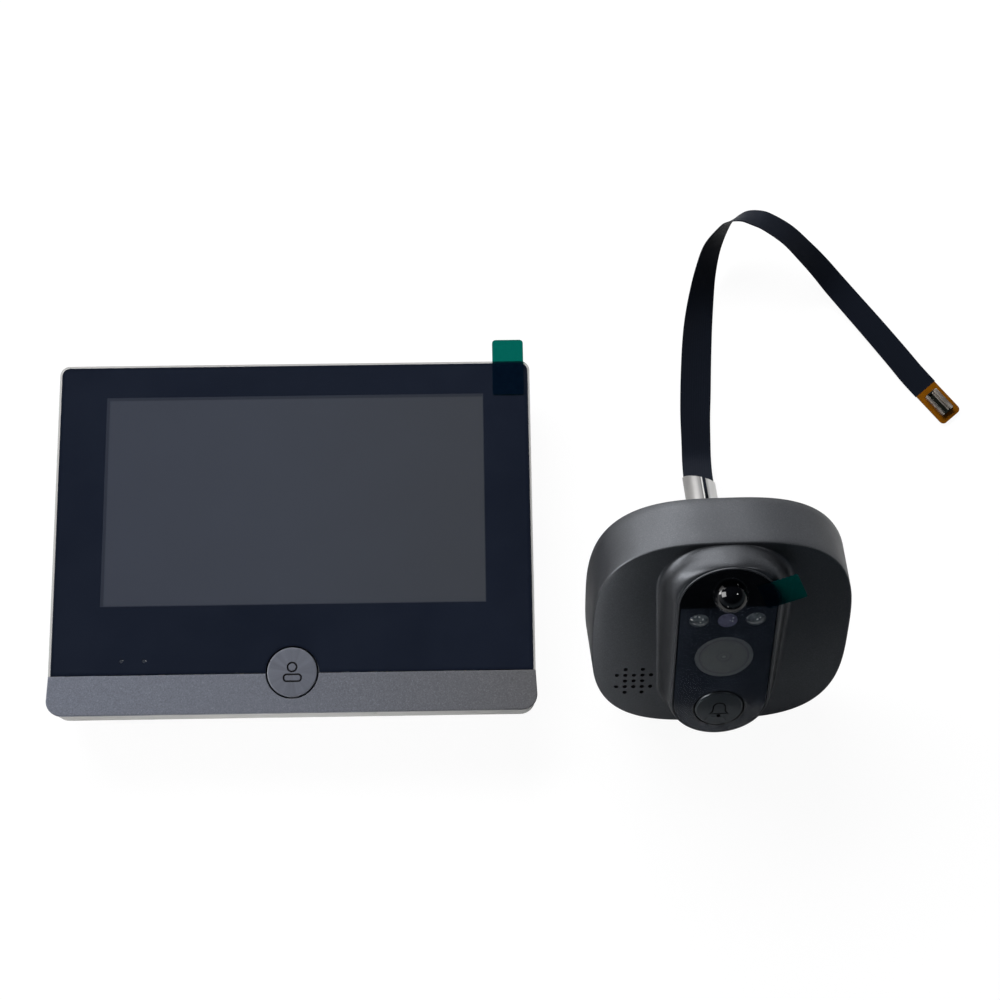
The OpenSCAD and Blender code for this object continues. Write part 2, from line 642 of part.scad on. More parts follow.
monitor_rear_cover();
monitor_frame();
monitor_glass();
monitor_chin();
monitor_button();
monitor_button_guide();
monitor_button_switch();
monitor_button_plunger();
monitor_display();
monitor_backlight();
monitor_main_board();
monitor_battery();
monitor_speaker();
monitor_microphone();
monitor_status_leds();
monitor_light_pipes();
monitor_charge_socket();
monitor_ribbon_socket();
monitor_rear_screws();
monitor_film();
monitor_film_tab();
camera_housing();
camera_panel();
camera_sensor_dome();
camera_motion_sensor();
camera_ir_leds();
camera_light_sensor();
camera_lens_window();
camera_lens_shroud();
camera_lens_element();
camera_lens_barrel();
camera_lens_holder();
camera_image_board();
camera_front_board();
camera_main_board();
camera_board_connector();
camera_bell_button();
camera_bell_guide();
camera_bell_switch();
camera_bell_plunger();
camera_speaker();
camera_rear_plate();
camera_seal();
camera_rear_screws();
camera_mount_pad();
camera_tube();
camera_film();
camera_film_tab();
camera_ribbon();
ribbon_end();
ribbon_plug();
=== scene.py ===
"""Looks of the two-unit peephole door camera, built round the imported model. Metres, row frame."""
import math

import bmesh
import bpy
from mathutils import Matrix, Vector
from mathutils.geometry import tessellate_polygon


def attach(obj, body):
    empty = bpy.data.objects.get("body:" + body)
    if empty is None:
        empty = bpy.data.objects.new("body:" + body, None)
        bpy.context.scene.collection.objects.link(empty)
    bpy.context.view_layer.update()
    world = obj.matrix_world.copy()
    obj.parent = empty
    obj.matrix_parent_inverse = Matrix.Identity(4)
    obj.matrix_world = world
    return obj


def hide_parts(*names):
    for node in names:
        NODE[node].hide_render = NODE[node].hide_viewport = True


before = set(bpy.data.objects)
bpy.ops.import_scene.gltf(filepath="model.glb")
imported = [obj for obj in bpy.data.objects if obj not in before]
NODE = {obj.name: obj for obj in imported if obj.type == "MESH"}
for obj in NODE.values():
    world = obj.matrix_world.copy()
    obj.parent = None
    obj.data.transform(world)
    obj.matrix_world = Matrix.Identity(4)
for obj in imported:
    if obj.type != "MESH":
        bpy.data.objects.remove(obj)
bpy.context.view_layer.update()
scene = bpy.context.scene
MM = 0.001


# ---------------------------------------------------------------- camera
def make_camera():
    e, az, roll = (math.radians(a) for a in (76.129, -3.188, 2.307))
    back = Vector((math.sin(az) * math.cos(e), -math.cos(az) * math.cos(e), math.sin(e)))
    right = Vector((math.cos(az), math.sin(az), 0))
    up = back.cross(right)
    x = right * math.cos(roll) + up * math.sin(roll)
    y = up * math.cos(roll) - right * math.sin(roll)
    data = bpy.data.cameras.new("camera")
    data.sensor_width = 36
    data.lens = 67.43
    data.clip_start = 0.01
    data.clip_end = 50
    cam = bpy.data.objects.new("camera", data)
    scene.collection.objects.link(cam)
    m = Matrix((x, y, back)).transposed().to_4x4()
    m.translation = Vector((8.093, -104.175, 473.194)) * MM
    cam.matrix_world = m
    scene.camera = cam


make_camera()

# ---------------------------------------------------------------- frames of the two units
MON_AT = Vector((-37.4, 0.5, 0))
YAW, TILT = math.radians(1.15), math.radians(33.5)
AX_P = Vector((math.cos(YAW), math.sin(YAW), 0))
AX_N = Vector((math.sin(YAW) * math.cos(TILT), -math.cos(YAW) * math.cos(TILT), math.sin(TILT)))
AX_U = AX_N.cross(AX_P)
CAM_AT = Vector((65.7, -17.55, 31.2 * math.cos(TILT)))
TUBE_AT = (0.9, 0.7)


def on_unit(p, q, s):
    """Point of the outdoor unit: right, up the front, out of the front, in mm from the middle of its back."""
    return (CAM_AT + p * AX_P + q * AX_U + s * AX_N) * MM


def on_monitor(x, y, z):
    return (MON_AT + Vector((x, y, z))) * MM


# ---------------------------------------------------------------- mesh helpers
def mesh_object(name, verts, faces, sharp=35):
    me = bpy.data.meshes.new(name)
    me.from_pydata([tuple(v) for v in verts], [], faces)
    bm = bmesh.new()
    bm.from_mesh(me)
    bmesh.ops.recalc_face_normals(bm, faces=bm.faces)
    bm.to_mesh(me)
    bm.free()
    o = bpy.data.objects.new(name, me)
    scene.collection.objects.link(o)
    shade(o, sharp)
    return o


def shade(o, sharp=35):
    """Smooth shading, with edges over this angle kept sharp."""
    bm = bmesh.new()
    bm.from_mesh(o.data)
    for f in bm.faces:
        f.smooth = True
    for e in bm.edges:
        e.smooth = len(e.link_faces) == 2 and e.calc_face_angle(0) < math.radians(sharp)
    bm.to_mesh(o.data)
    bm.free()


def loft(loops, closed=False):
    """Quads between equal loops of points; closed joins the last loop to the first."""
    n = len(loops[0])
    verts = [p for loop in loops for p in loop]
    faces = []
    for k in range(len(loops) if closed else len(loops) - 1):
        a, b = k * n, (k + 1) % len(loops) * n
        for i in range(n):
            j = (i + 1) % n
            faces.append((a + i, a + j, b + j, b + i))
    return verts, faces


def box_mesh(bm, x0, x1, y0, y1, z0, z1, m=None, bevel=0.0):
    """Adds a box with small bevelled edges to bm, in mm, through the matrix m."""
    made = bmesh.ops.create_cube(bm, size=1)["verts"]
    for v in made:
        v.co = Vector((x0 + (x1 - x0) * (v.co.x + 0.5), y0 + (y1 - y0) * (v.co.y + 0.5), z0 + (z1 - z0) * (v.co.z + 0.5)))
    if bevel:
        edges = {e for v in made for e in v.link_edges}
        got = bmesh.ops.bevel(bm, geom=list(edges), offset=bevel, segments=2, profile=0.5, affect="EDGES")
        made = list({v for f in got["faces"] for v in f.verts} | {v for v in made if v.is_valid})
    if m is not None:
        for v in made:
            v.co = m @ v.co
    return made


def arc2(cx, cy, r, a0, a1, n):
    """Points on an arc, angles in degrees."""
    return [Vector((cx + r * math.cos(math.radians(a0 + (a1 - a0) * i / n)), cy + r * math.sin(math.radians(a0 + (a1 - a0) * i / n)))) for i in range(n + 1)]


def drawn_in(pts, d):
    """The closed outline moved to the left of its direction by d."""
    n = len(pts)
    out = []
    for i, p in enumerate(pts):
        a, b = (p - pts[i - 1]).normalized(), (pts[(i + 1) % n] - p).normalized()
        na, nb = Vector((-a.y, a.x)), Vector((-b.y, b.x))
        m = (na + nb).normalized()
        out.append(p + m * (d / max(0.3, m.dot(na))))
    return out


def slab(name, outlines, z0, z1, r, place, steps=4):
    """Closed plate with rounded upper edges: the outer outline runs to the left, the holes to the right, in mm."""
    verts, faces = [], []
    rounds = [(0.0, z0)] + [(r * (1 - math.cos(math.radians(90 * k / steps))), z1 - r + r * math.sin(math.radians(90 * k / steps))) for k in range(steps + 1)]
    bottoms, tops = [], []
    for pts in outlines:
        n = len(pts)
        first = len(verts)
        for inset, z in rounds:
            verts += [place(q.x, q.y, z) for q in drawn_in(pts, inset)]
        for k in range(len(rounds) - 1):
            a, b = first + k * n, first + (k + 1) * n
            faces += [(a + i, a + (i + 1) % n, b + (i + 1) % n, b + i) for i in range(n)]
        bottoms += range(first, first + n)
        tops += range(first + (len(rounds) - 1) * n, first + len(rounds) * n)
    flat = [[Vector((q.x, q.y, 0)) for q in drawn_in(pts, r)] for pts in outlines]
    caps = tessellate_polygon(flat)
    faces += [tuple(tops[i] for i in f) for f in caps] + [tuple(bottoms[i] for i in reversed(f)) for f in caps]
    o = mesh_object(name, verts, faces, 14)
    crisp(o)
    return o


def crisp(o):
    """Edges of level faces are sharp, so that a flat top shades flat."""
    bm = bmesh.new()
    bm.from_mesh(o.data)
    for e in bm.edges:
        level = [abs(f.normal.z) > 0.9999 for f in e.link_faces]
        if any(level) and not all(level):
            e.smooth = False
    bm.to_mesh(o.data)
    bm.free()


def cut_away(o, tool_mesh, sharp=30):
    """The object with a closed tool mesh cut out of it."""
    tool = bpy.data.objects.new("cut", tool_mesh)
    scene.collection.objects.link(tool)
    mod = o.modifiers.new("cut", "BOOLEAN")
    mod.operation = "DIFFERENCE"
    mod.solver = "EXACT"
    mod.object = tool
    dg = bpy.context.evaluated_depsgraph_get()
    done = bpy.data.meshes.new_from_object(o.evaluated_get(dg))
    o.modifiers.clear()
    o.data = done
    bpy.data.objects.remove(tool)
    bpy.data.meshes.remove(tool_mesh)
    shade(o, sharp)


# ---------------------------------------------------------------- material helpers
class Look:
    """A procedural material round one Principled shader, in object coordinates."""

    def __init__(self, name, **sockets):
        self.m = bpy.data.materials.new(name)
        self.m.use_nodes = True
        self.t = self.m.node_tree
        self.bsdf = self.t.nodes["Principled BSDF"]
        self.out = self.t.nodes["Material Output"]
        self._obj = None
        self.set(**sockets)

    def set(self, **sockets):
        for k, v in sockets.items():
            s = self.bsdf.inputs[k.replace("_", " ")]
            if isinstance(v, bpy.types.NodeSocket):
                self.t.links.new(v, s)
            elif isinstance(v, tuple) and len(v) == 3 and s.type == "RGBA":
                s.default_value = (*v, 1)
            else:
                s.default_value = v
        return self

    def node(self, kind, ins=None, **props):
        n = self.t.nodes.new(kind)
        for k, v in props.items():
            setattr(n, k, v)
        for k, v in (ins or {}).items():
            if isinstance(v, bpy.types.NodeSocket):
                self.t.links.new(v, n.inputs[k])
            else:
                n.inputs[k].default_value = v
        return n

    def obj(self):
        if self._obj is None:
            self._obj = self.node("ShaderNodeTexCoord").outputs["Object"]
        return self._obj

    def scaled(self, x, y, z):
        """Object coordinates stretched per axis, for brushed or layered grain."""
        return self.node("ShaderNodeMapping", {"Vector": self.obj(), "Scale": (x, y, z)}).outputs[0]

    def noise(self, scale, detail=2.0, rough=0.5, vec=None, distortion=0.0):
        return self.node("ShaderNodeTexNoise", {"Vector": vec or self.obj(), "Scale": scale, "Detail": detail, "Roughness": rough, "Distortion": distortion}).outputs["Fac"]

    def cells(self, scale, vec=None, feature="F1", out="Distance"):
        return self.node("ShaderNodeTexVoronoi", {"Vector": vec or self.obj(), "Scale": scale}, feature=feature).outputs[out]

    def math(self, op, a, b=0.0, clamp=False):
        return self.node("ShaderNodeMath", {0: a, 1: b}, operation=op, use_clamp=clamp).outputs[0]

    def span(self, v, a, b, c=0.0, d=1.0):
        return self.node("ShaderNodeMapRange", {"Value": v, "From Min": a, "From Max": b, "To Min": c, "To Max": d}).outputs["Result"]

    def mix(self, fac, a, b):
        n = self.node("ShaderNodeMix", data_type="RGBA")
        for i, v in ((0, fac), (6, a), (7, b)):
            if isinstance(v, bpy.types.NodeSocket):
                self.t.links.new(v, n.inputs[i])
            else:
                n.inputs[i].default_value = (*v, 1) if isinstance(v, tuple) and len(v) == 3 else v
        return n.outputs[2]

    def ramp(self, fac, *stops):
        n = self.node("ShaderNodeValToRGB", {"Fac": fac})
        el = n.color_ramp.elements
        while len(el) < len(stops):
            el.new(0.5)
        for e, (at, c) in zip(el, sorted(stops, key=lambda s: s[0])):
            e.position = at
            e.color = (*c, 1) if isinstance(c, tuple) else (c, c, c, 1)
        return n.outputs["Color"]

    def bump(self, height, strength=0.3, dist=0.00005, normal=None):
        ins = {"Height": height, "Strength": strength, "Distance": dist}
        if normal is not None:
            ins["Normal"] = normal
        return self.node("ShaderNodeBump", ins).outputs["Normal"]

    def along(self, axis, origin):
        """Signed distance from origin along a unit axis, in metres."""
        d = self.node("ShaderNodeVectorMath", {0: self.obj(), 1: tuple(origin)}, operation="SUBTRACT").outputs[0]
        return self.node("ShaderNodeVectorMath", {0: d, 1: tuple(axis)}, operation="DOT_PRODUCT").outputs["Value"]

    def away(self, point):
        """Distance from a point, in metres."""
        return self.node("ShaderNodeVectorMath", {0: self.obj(), 1: tuple(point)}, operation="DISTANCE").outputs["Value"]


def shifted(c, f):
    return tuple(min(1.0, max(0.0, x * f)) for x in c)


def grainy(name, colour, rough=0.5, grain=3200.0, depth=0.25, vary=0.18, patch=60.0, flakes=0.0, **sockets):
    """Painted or moulded surface: fine grain in colour and bump, soft larger variation, roughness that follows."""
    k = Look(name, **sockets)
    fine = k.noise(grain, 2.0, 0.6)
    broad = k.noise(patch, 3.0, 0.55)
    tone = k.mix(k.span(fine, 0.3, 0.7), shifted(colour, 1 - vary), shifted(colour, 1 + vary))
    tone = k.mix(k.span(broad, 0.35, 0.65, 0.0, 0.35), tone, shifted(colour, 1.0 - vary * 0.6))
    if flakes:
        spark = k.node("ShaderNodeTexVoronoi", {"Vector": k.obj(), "Scale": grain * 0.8}).outputs["Color"]
        bright = k.node("ShaderNodeSeparateColor", {0: spark}).outputs[0]
        tone = k.mix(k.span(bright, 0.8, 1.0, 0.0, flakes), tone, shifted(colour, 2.6))
    k.set(Base_Color=tone, Roughness=k.span(broad, 0.3, 0.7, rough - 0.05, rough + 0.06))
    k.set(Normal=k.bump(fine, depth, 0.00004))
    return k


# ---------------------------------------------------------------- the ribbon, a flat cable swept along its route
ROUTE = [
    (66, 19.5, 2.4, 0, 0), (66.1, 23, 1, 0, 0), (66.2, 27, 0.6, 0, 0), (66.3, 34, 0.6, 0, 0),
    (66.6, 40, 0.7, 0, -2), (67, 47, 0.9, -2, -6), (67.5, 54, 1.2, -3, -11), (68.1, 60, 1.7, -3, -19),
    (69.1, 67, 2.8, 0, -31), (70.2, 73, 4.5, 3, -42), (72, 79, 6.8, 12, -50), (75, 83.5, 9.6, 37, -57),
    (77, 85, 11, 52, -54), (80, 85.5, 12.4, 65, -45), (83, 84.8, 13, 69, -34), (86, 83.6, 13, 68, -27),
    (91.4, 80.6, 11.4, 65, -20), (96.4, 77, 8.2, 60, -14), (100.5, 74, 5, 54, -10), (104.5, 70.3, 2.3, 46, -8),
    (108.5, 65.8, 1.1, 41, -7), (114.5, 58.2, 0.7, 40, -4), (120.4, 50.4, 0.5, 40, -2), (124.2, 45.2, 0.4, 41, 0), (127.6, 41, 0.35, 42, 0),
]


def tube_axis(s):
    return CAM_AT + TUBE_AT[0] * AX_P + TUBE_AT[1] * AX_U + s * AX_N


def eased(v, a, b):
    f = max(0.0, min(1.0, (v - a) / (b - a)))
    return f * f * (3 - 2 * f)


def ribbon_rings(steps):
    """Middle, direction and width line of the ribbon, from inside the tube to the stiffened end, in mm."""
    keys = [(*tube_axis(s), math.degrees(YAW), 0) for s in (3.6, -8, -20, -32, -40)] + ROUTE
    n = len(keys)

    def key(i):
        return keys[max(0, min(n - 1, i))]

    pts = []
    for i in range(n - 1):
        for k in range(steps):
            f = k / steps
            w = (-f**3 + 2 * f * f - f, 3 * f**3 - 5 * f * f + 2, -3 * f**3 + 4 * f * f + f, f**3 - f * f)
            pts.append([sum(w[d] * key(i - 1 + d)[c] for d in range(4)) / 2 for c in range(5)])
    pts.append(list(keys[-1]))
    rings = []
    last = len(pts) - 1
    for i, p in enumerate(pts):
        a, b = pts[max(0, i - 1)], pts[min(last, i + 1)]
        t = (Vector(b[:3]) - Vector(a[:3])).normalized()
        az, el = math.radians(p[3]), math.radians(p[4])
        r = Vector((math.cos(az) * math.cos(el), math.sin(az) * math.cos(el), math.sin(el)))
        r = (r - r.dot(t) * t).normalized()
        half = (7.6 + 0.5 * eased(i / steps, 6.5, 9.5) - 1.1 * eased(i / steps, 16.2, 23.6)) / 2
        rings.append((Vector(p[:3]), t, r, half))
    return rings


def make_ribbon():
    steps = 8
    rings = ribbon_rings(steps)[2 * steps:]
    thick = 0.25
    cols = 12
    loops, path, uvs = [], [], []
    run, prev = 0.0, None
    for c, t, r, half in rings:
        n = r.cross(t)
        run += (c - prev).length if prev is not None else 0.0
        prev = c
        path.append(c * MM)
        sec = [(-half + 0.05 + (2 * half - 0.1) * i / cols, thick / 2) for i in range(cols + 1)]
        sec += [(half, thick / 4), (half, -thick / 4)]
        sec += [(half - 0.05 - (2 * half - 0.1) * i / cols, -thick / 2) for i in range(cols + 1)]
        sec += [(-half, -thick / 4), (-half, thick / 4)]
        loops.append([(c + v * r + w * n) * MM for v, w in sec])
        uvs.append([(v / half, run) for v, w in sec])
    verts, faces = loft(loops)
    m = len(loops[0])
    faces += [tuple(range(m)), tuple((len(loops) - 1) * m + i for i in range(m))]
    me = bpy.data.meshes.new("ribbon")
    me.from_pydata([tuple(v) for v in verts], [], faces)
    layer = me.uv_layers.new(name="lay")
    flat = [uv for ring in uvs for uv in ring]
    for loop in me.loops:
        layer.data[loop.index].uv = (flat[loop.vertex_index][0] * 0.5 + 0.5, flat[loop.vertex_index][1] / 200)
    bm = bmesh.new()
    bm.from_mesh(me)
    bmesh.ops.recalc_face_normals(bm, faces=bm.faces)
    bm.to_mesh(me)
    bm.free()
    o = bpy.data.objects.new("ribbon", me)
    scene.collection.objects.link(o)
    shade(o, 50)
    length = sum((b - a).length for a, b in zip(path, path[1:]))
    return o, path, length


ribbon, ribbon_path, ribbon_length = make_ribbon()
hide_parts("camera_ribbon")
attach(ribbon, "camera_unit")


def end_matrix():
    """Frame of the stiffened end: x along it, z up, on the table, in mm."""
    rings = ribbon_rings(2)
    t = rings[-1][1]
    a = math.atan2(t.y, t.x)
    return Matrix.Translation((ROUTE[-1][0], ROUTE[-1][1], 0)) @ Matrix.Rotation(a, 4, "Z")


def make_plug():
    """Board connector: moulded body with a channel, and a plated shell along each long side with its contacts."""
    body = bmesh.new()
    m = Matrix.Scale(MM, 4) @ end_matrix()
    box_mesh(body, 1.5, 8.5, -1.0, 0.75, 0.6, 1.15, m, 0.06)
    box_mesh(body, 1.55, 2.0, -1.8, 1.8, 0.6, 1.5, m, 0.08)
    box_mesh(body, 8.0, 8.45, -1.8, 1.8, 0.6, 1.5, m, 0.08)
    me = bpy.data.meshes.new("ribbon_plug_body")
    body.to_mesh(me)
    body.free()
    o = bpy.data.objects.new("ribbon_plug_body", me)
    scene.collection.objects.link(o)
    shade(o, 40)
    metal = bmesh.new()
    box_mesh(metal, 1.65, 8.35, -1.85, -1.2, 0.6, 1.75, m, 0.12)
    box_mesh(metal, 1.65, 8.35, 0.75, 1.85, 0.6, 1.9, m, 0.16)
    box_mesh(metal, 1.9, 8.1, 0.1, 0.5, 0.9, 1.6, m, 0.08)
    for i in range(14):
        x = 2.2 + 0.42 * i
        box_mesh(metal, x, x + 0.17, -1.2, -0.95, 0.9, 1.62, m, 0.03)
        box_mesh(metal, x, x + 0.17, 0.48, 0.78, 0.9, 1.7, m, 0.03)
    me = bpy.data.meshes.new("ribbon_plug_shell")
    metal.to_mesh(me)
    metal.free()
    s = bpy.data.objects.new("ribbon_plug_shell", me)
    scene.collection.objects.link(s)
    shade(s, 40)
    return o, s


plug_body, plug_shell = make_plug()
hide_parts("ribbon_plug")
for piece in (plug_body, plug_shell):
    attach(piece, "camera_unit")


# ---------------------------------------------------------------- the outdoor unit's housing
PAN_HW, PAN_TOP, PAN_BOT = 11.25, 28.6, -26.9


def panel_outline(arc_n, side_n):
    """Points on the front panel's capsule outline, each with its outward direction."""
    top, bot = PAN_TOP - PAN_HW, PAN_BOT + PAN_HW
    pts = []
    for i in range(side_n):
        pts.append((Vector((PAN_HW, bot + (top - bot) * i / side_n)), Vector((1, 0))))
    for i in range(arc_n):
        d = Vector((math.cos(math.pi * i / arc_n), math.sin(math.pi * i / arc_n)))
        pts.append((Vector((0, top)) + PAN_HW * d, d))
    for i in range(side_n):
        pts.append((Vector((-PAN_HW, top + (bot - top) * i / side_n)), Vector((-1, 0))))
    for i in range(arc_n):
        a = math.pi + math.pi * i / arc_n
        d = Vector((math.cos(a), math.sin(a)))
        pts.append((Vector((0, bot)) + PAN_HW * d, d))
    return pts


def reach(p, d, a, m):
    """How far p is from the rounded square of half width a and roundness m, along d."""
    lo, hi = 0.0, 80.0
    for _ in range(60):
        mid = (lo + hi) / 2
        q = p + mid * d
        if (abs(q.x) / a) ** m + (abs(q.y) / a) ** m < 1:
            lo = mid
        else:
            hi = mid
    return lo


def make_housing():
    base = panel_outline(88, 44)
    n = len(base)
    back, front = 31.2, 30.5
    depth, lip_s = 14.7, 21.5
    edge_r = 0.42

    def rim(s, inset=0.0):
        f = s / depth
        a, m = back + (front - back) * f, 2.95 + (3.1 - 2.95) * f
        return [(p + (reach(p, d, a, m) - inset) * d, s) for p, d in base]

    loops = []
    loops.append(rim(0, 0.5))
    loops.append([(q, 0.12) for q, _ in rim(0.12, 0.14)])
    loops.append(rim(0.5))
    for k in range(1, 8):
        loops.append(rim(0.5 + (depth - edge_r - 0.5) * k / 7))
    edge = [reach(p, d, front, 3.1) for p, d in base]
    for k in range(1, 7):
        a = math.radians(90 * k / 6)
        loops.append([(p + (t - edge_r + edge_r * math.cos(a)) * d, depth - edge_r + edge_r * math.sin(a)) for (p, d), t in zip(base, edge)])
    # flare of the raised boss: wide along the sides, drawn in smoothly where it comes near the top and bottom edges
    flare = []
    for (p, d), t in zip(base, edge):
        least = 1.42 if d.y > 0 else 1.5
        side = 3.5 + 1.6 * max(0.0, min(1.0, (p.y + 16) / 34))
        flare.append(min(least + (side - least) * abs(d.x) ** 1.7, max(0.9, t - 0.47)))
    crown = []
    for t, f in zip(edge, flare):
        crown.append(math.tan(math.radians(2.2)) * max(0.0, t - edge_r - f))
    for k in range(1, 6):
        f = k / 6
        loops.append([
            (p + (t - edge_r + (w - t + edge_r) * f) * d, depth + c * f * (2 - f) * 0.9)
            for (p, d), t, w, c in zip(base, edge, flare, crown)
        ])
    # it rises in an S, soft along the sides and with a hollow foot and a rounded shoulder at the top
    lip = 0.5
    m = 18
    for k in range(0, 2 * m + 1):
        f = k / (2 * m)
        a = math.radians(90 * (k if k <= m else k - m) / m)
        g = f ** 1.35
        soft = (1 - f, g * g * (3 - 2 * g))
        full = (0.64 + 0.36 * (1 - math.sin(a)), 0.42 * (1 - math.cos(a))) if k <= m else (0.64 * math.cos(a), 0.42 + 0.58 * math.sin(a))
        ring = []
        for (p, d), w, c in zip(base, flare, crown):
            e = min(1.0, max(0.0, (d.y + 0.3) / 0.9)) ** 1.2
            x, z = (u + (v - u) * e for u, v in zip(soft, full))
            low = depth + c * 0.9
            ring.append((p + (lip + (w - lip) * x) * d, low + (lip_s - 0.38 - low) * z))
        loops.append(ring)

    def at(g, s):
        return [(p + g * d, s) for p, d in base]

    loops += [at(0.49, lip_s - 0.2), at(0.45, lip_s - 0.08), at(0.37, lip_s - 0.02), at(0.3, lip_s), at(0.18, lip_s), at(0.1, lip_s - 0.03), at(0.06, lip_s - 0.12)]
    loops += [at(0.06, 20.0), at(-1.45, 20.0), at(-1.45, 15.0), at(-2.45, 15.0), at(-2.45, 12.5)]

    def wall(a, s):
        return [(p + reach(p, d, a, 2.95) * d, s) for p, d in base]

    loops += [wall(27.6, 12.5), wall(27.6, 2.8), wall(28.9, 2.8), wall(28.9, 0.0)]
    verts, faces = loft([[on_unit(q.x, q.y, s) for q, s in loop] for loop in loops], closed=True)
    o = mesh_object("housing", verts, faces, 30)

    # speaker grille
    cut = bmesh.new()
    rows = [(-1, 1), (-2, -1, 0, 1, 2), (-1, 0, 1), (-2, -1, 0, 1, 2), (-1, 1)]
    turn = Matrix((AX_P, AX_U, AX_N)).transposed().to_4x4()
    for j, row in enumerate(rows):
        for i in row:
            c = on_unit(-20.2 + 2.07 * i, -14.6 + 2.07 * (2 - j), 14.5)
            bmesh.ops.create_cone(cut, cap_ends=True, segments=24, radius1=0.54 * MM, radius2=0.54 * MM, depth=5 * MM, matrix=Matrix.Translation(c) @ turn)
    me = bpy.data.meshes.new("cut")
    cut.to_mesh(me)
    cut.free()
    cut_away(o, me)
    return o


housing = make_housing()
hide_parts("camera_housing")
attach(housing, "camera_unit")

# ---------------------------------------------------------------- the monitor's glass and chin strip
MON_W, MON_H, RIM, CHIN_Y = 119.7, 89.4, 0.55, -34.97
BUTTON_Y, BUTTON_R = -34.8, 6.5
DOTS = ((-42, -31.5), (-36.4, -31.5))


def make_glass():
    hw, top, low = MON_W / 2 - RIM, MON_H / 2 - RIM, CHIN_Y + 0.07
    rt, rb = 1.98, 0.3
    a = math.degrees(math.asin((low - BUTTON_Y) / BUTTON_R))
    outer = arc2(hw - rt, top - rt, rt, 0, 90, 16) + arc2(-hw + rt, top - rt, rt, 90, 180, 16) + arc2(-hw + rb, low + rb, rb, 180, 270, 6)
    outer += arc2(0, BUTTON_Y, BUTTON_R, 180 - a, a, 72) + arc2(hw - rb, low + rb, rb, 270, 360, 6)
    holes = [arc2(x, y, 0.45, 360, 360 / 20, 19) for x, y in DOTS]
    return slab("cover_glass", [outer] + holes, 14.8, 16.0, 0.1, on_monitor, 3)


def make_chin():
    w0, w1, top, low, r = MON_W / 2, MON_W / 2 + 0.3, CHIN_Y - 0.07, -MON_H / 2 - 0.05, 3.8
    a = math.degrees(math.asin((top - BUTTON_Y) / BUTTON_R))
    outer = arc2(-w1 + r, low + r, r, 180, 270, 20) + arc2(w1 - r, low + r, r, 270, 360, 20)
    outer += [Vector((w0, top))] + arc2(0, BUTTON_Y, BUTTON_R, a, -180 - a, 72) + [Vector((-w0, top))]
    return slab("chin_strip", [outer], 14.8, 16.0, 0.22, on_monitor, 4)


glass_plate, chin_strip = make_glass(), make_chin()
for piece, node, slot in ((glass_plate, "monitor_glass", "black_glass"), (chin_strip, "monitor_chin", "chin_grey")):
    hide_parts(node)
    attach(piece, "monitor")

# ---------------------------------------------------------------- the two push buttons
def lathe(profile, place, n=144):
    """Closed solid turned from (radius, height) points whose first and last lie on the axis."""
    verts, faces, rings = [], [], []
    for r, h in profile:
        first = len(verts)
        verts += [place(0, 0, h)] if r == 0 else [place(r * math.cos(2 * math.pi * i / n), r * math.sin(2 * math.pi * i / n), h) for i in range(n)]
        rings.append((first, r == 0))
    for (a, pa), (b, pb) in zip(rings, rings[1:]):
        for i in range(n):
            j = (i + 1) % n
            faces.append((a, b + j, b + i) if pa else (a + i, a + j, b) if pb else (a + i, a + j, b + j, b + i))
    return verts, faces


def stroke(verts, faces, outer, inner, h0, h1, place):
    """Adds a closed prism between two equal outlines."""
    n, first = len(outer), len(verts)
    for pts, h in ((outer, h0), (outer, h1), (inner, h1), (inner, h0)):
        verts += [place(q.x, q.y, h) for q in pts]
    for k in range(4):
        a, b = first + k * n, first + (k + 1) % 4 * n
        faces += [(a + i, a + (i + 1) % n, b + (i + 1) % n, b + i) for i in range(n)]


def engrave(o, strokes, h0, h1, place):
    bm = bmesh.new()
    for outer, inner in strokes:
        verts, faces = [], []
        stroke(verts, faces, outer, inner, h0, h1, place)
        me = bpy.data.meshes.new("line")
        me.from_pydata([tuple(v) for v in verts], [], faces)
        bm.from_mesh(me)
        bpy.data.meshes.remove(me)
    bmesh.ops.recalc_face_normals(bm, faces=bm.faces)
    me = bpy.data.meshes.new("lines")
    bm.to_mesh(me)
    bm.free()
    cut_away(o, me, 32)


def turned(name, profile, place):
    return mesh_object(name, *lathe(profile, place), 32)


def round_box(w, h, r, cx=0.0, cy=0.0, n=8):
    out = []
    for x, y, a in ((1, -1, -90), (1, 1, 0), (-1, 1, 90), (-1, -1, 180)):
        out += arc2(cx + x * (w / 2 - r), cy + y * (h / 2 - r), r, a, a + 90, n)
    return out


def bell_outline(g):
    """Bell body with its mouth, drawn in by g."""
    pts = arc2(0, 0.9, 1.62 - g, 0, 180, 20)
    pts += [Vector((-1.64 + g, 0.2)), Vector((-1.72 + g, -0.5)), Vector((-2.0 + g * 1.15, -1.05)), Vector((-2.45 + g * 1.5, -1.6 + g * 0.9))]
    pts += [Vector((2.45 - g * 1.5, -1.6 + g * 0.9)), Vector((2.0 - g * 1.15, -1.05)), Vector((1.72 - g, -0.5)), Vector((1.64 - g, 0.2))]
    return pts


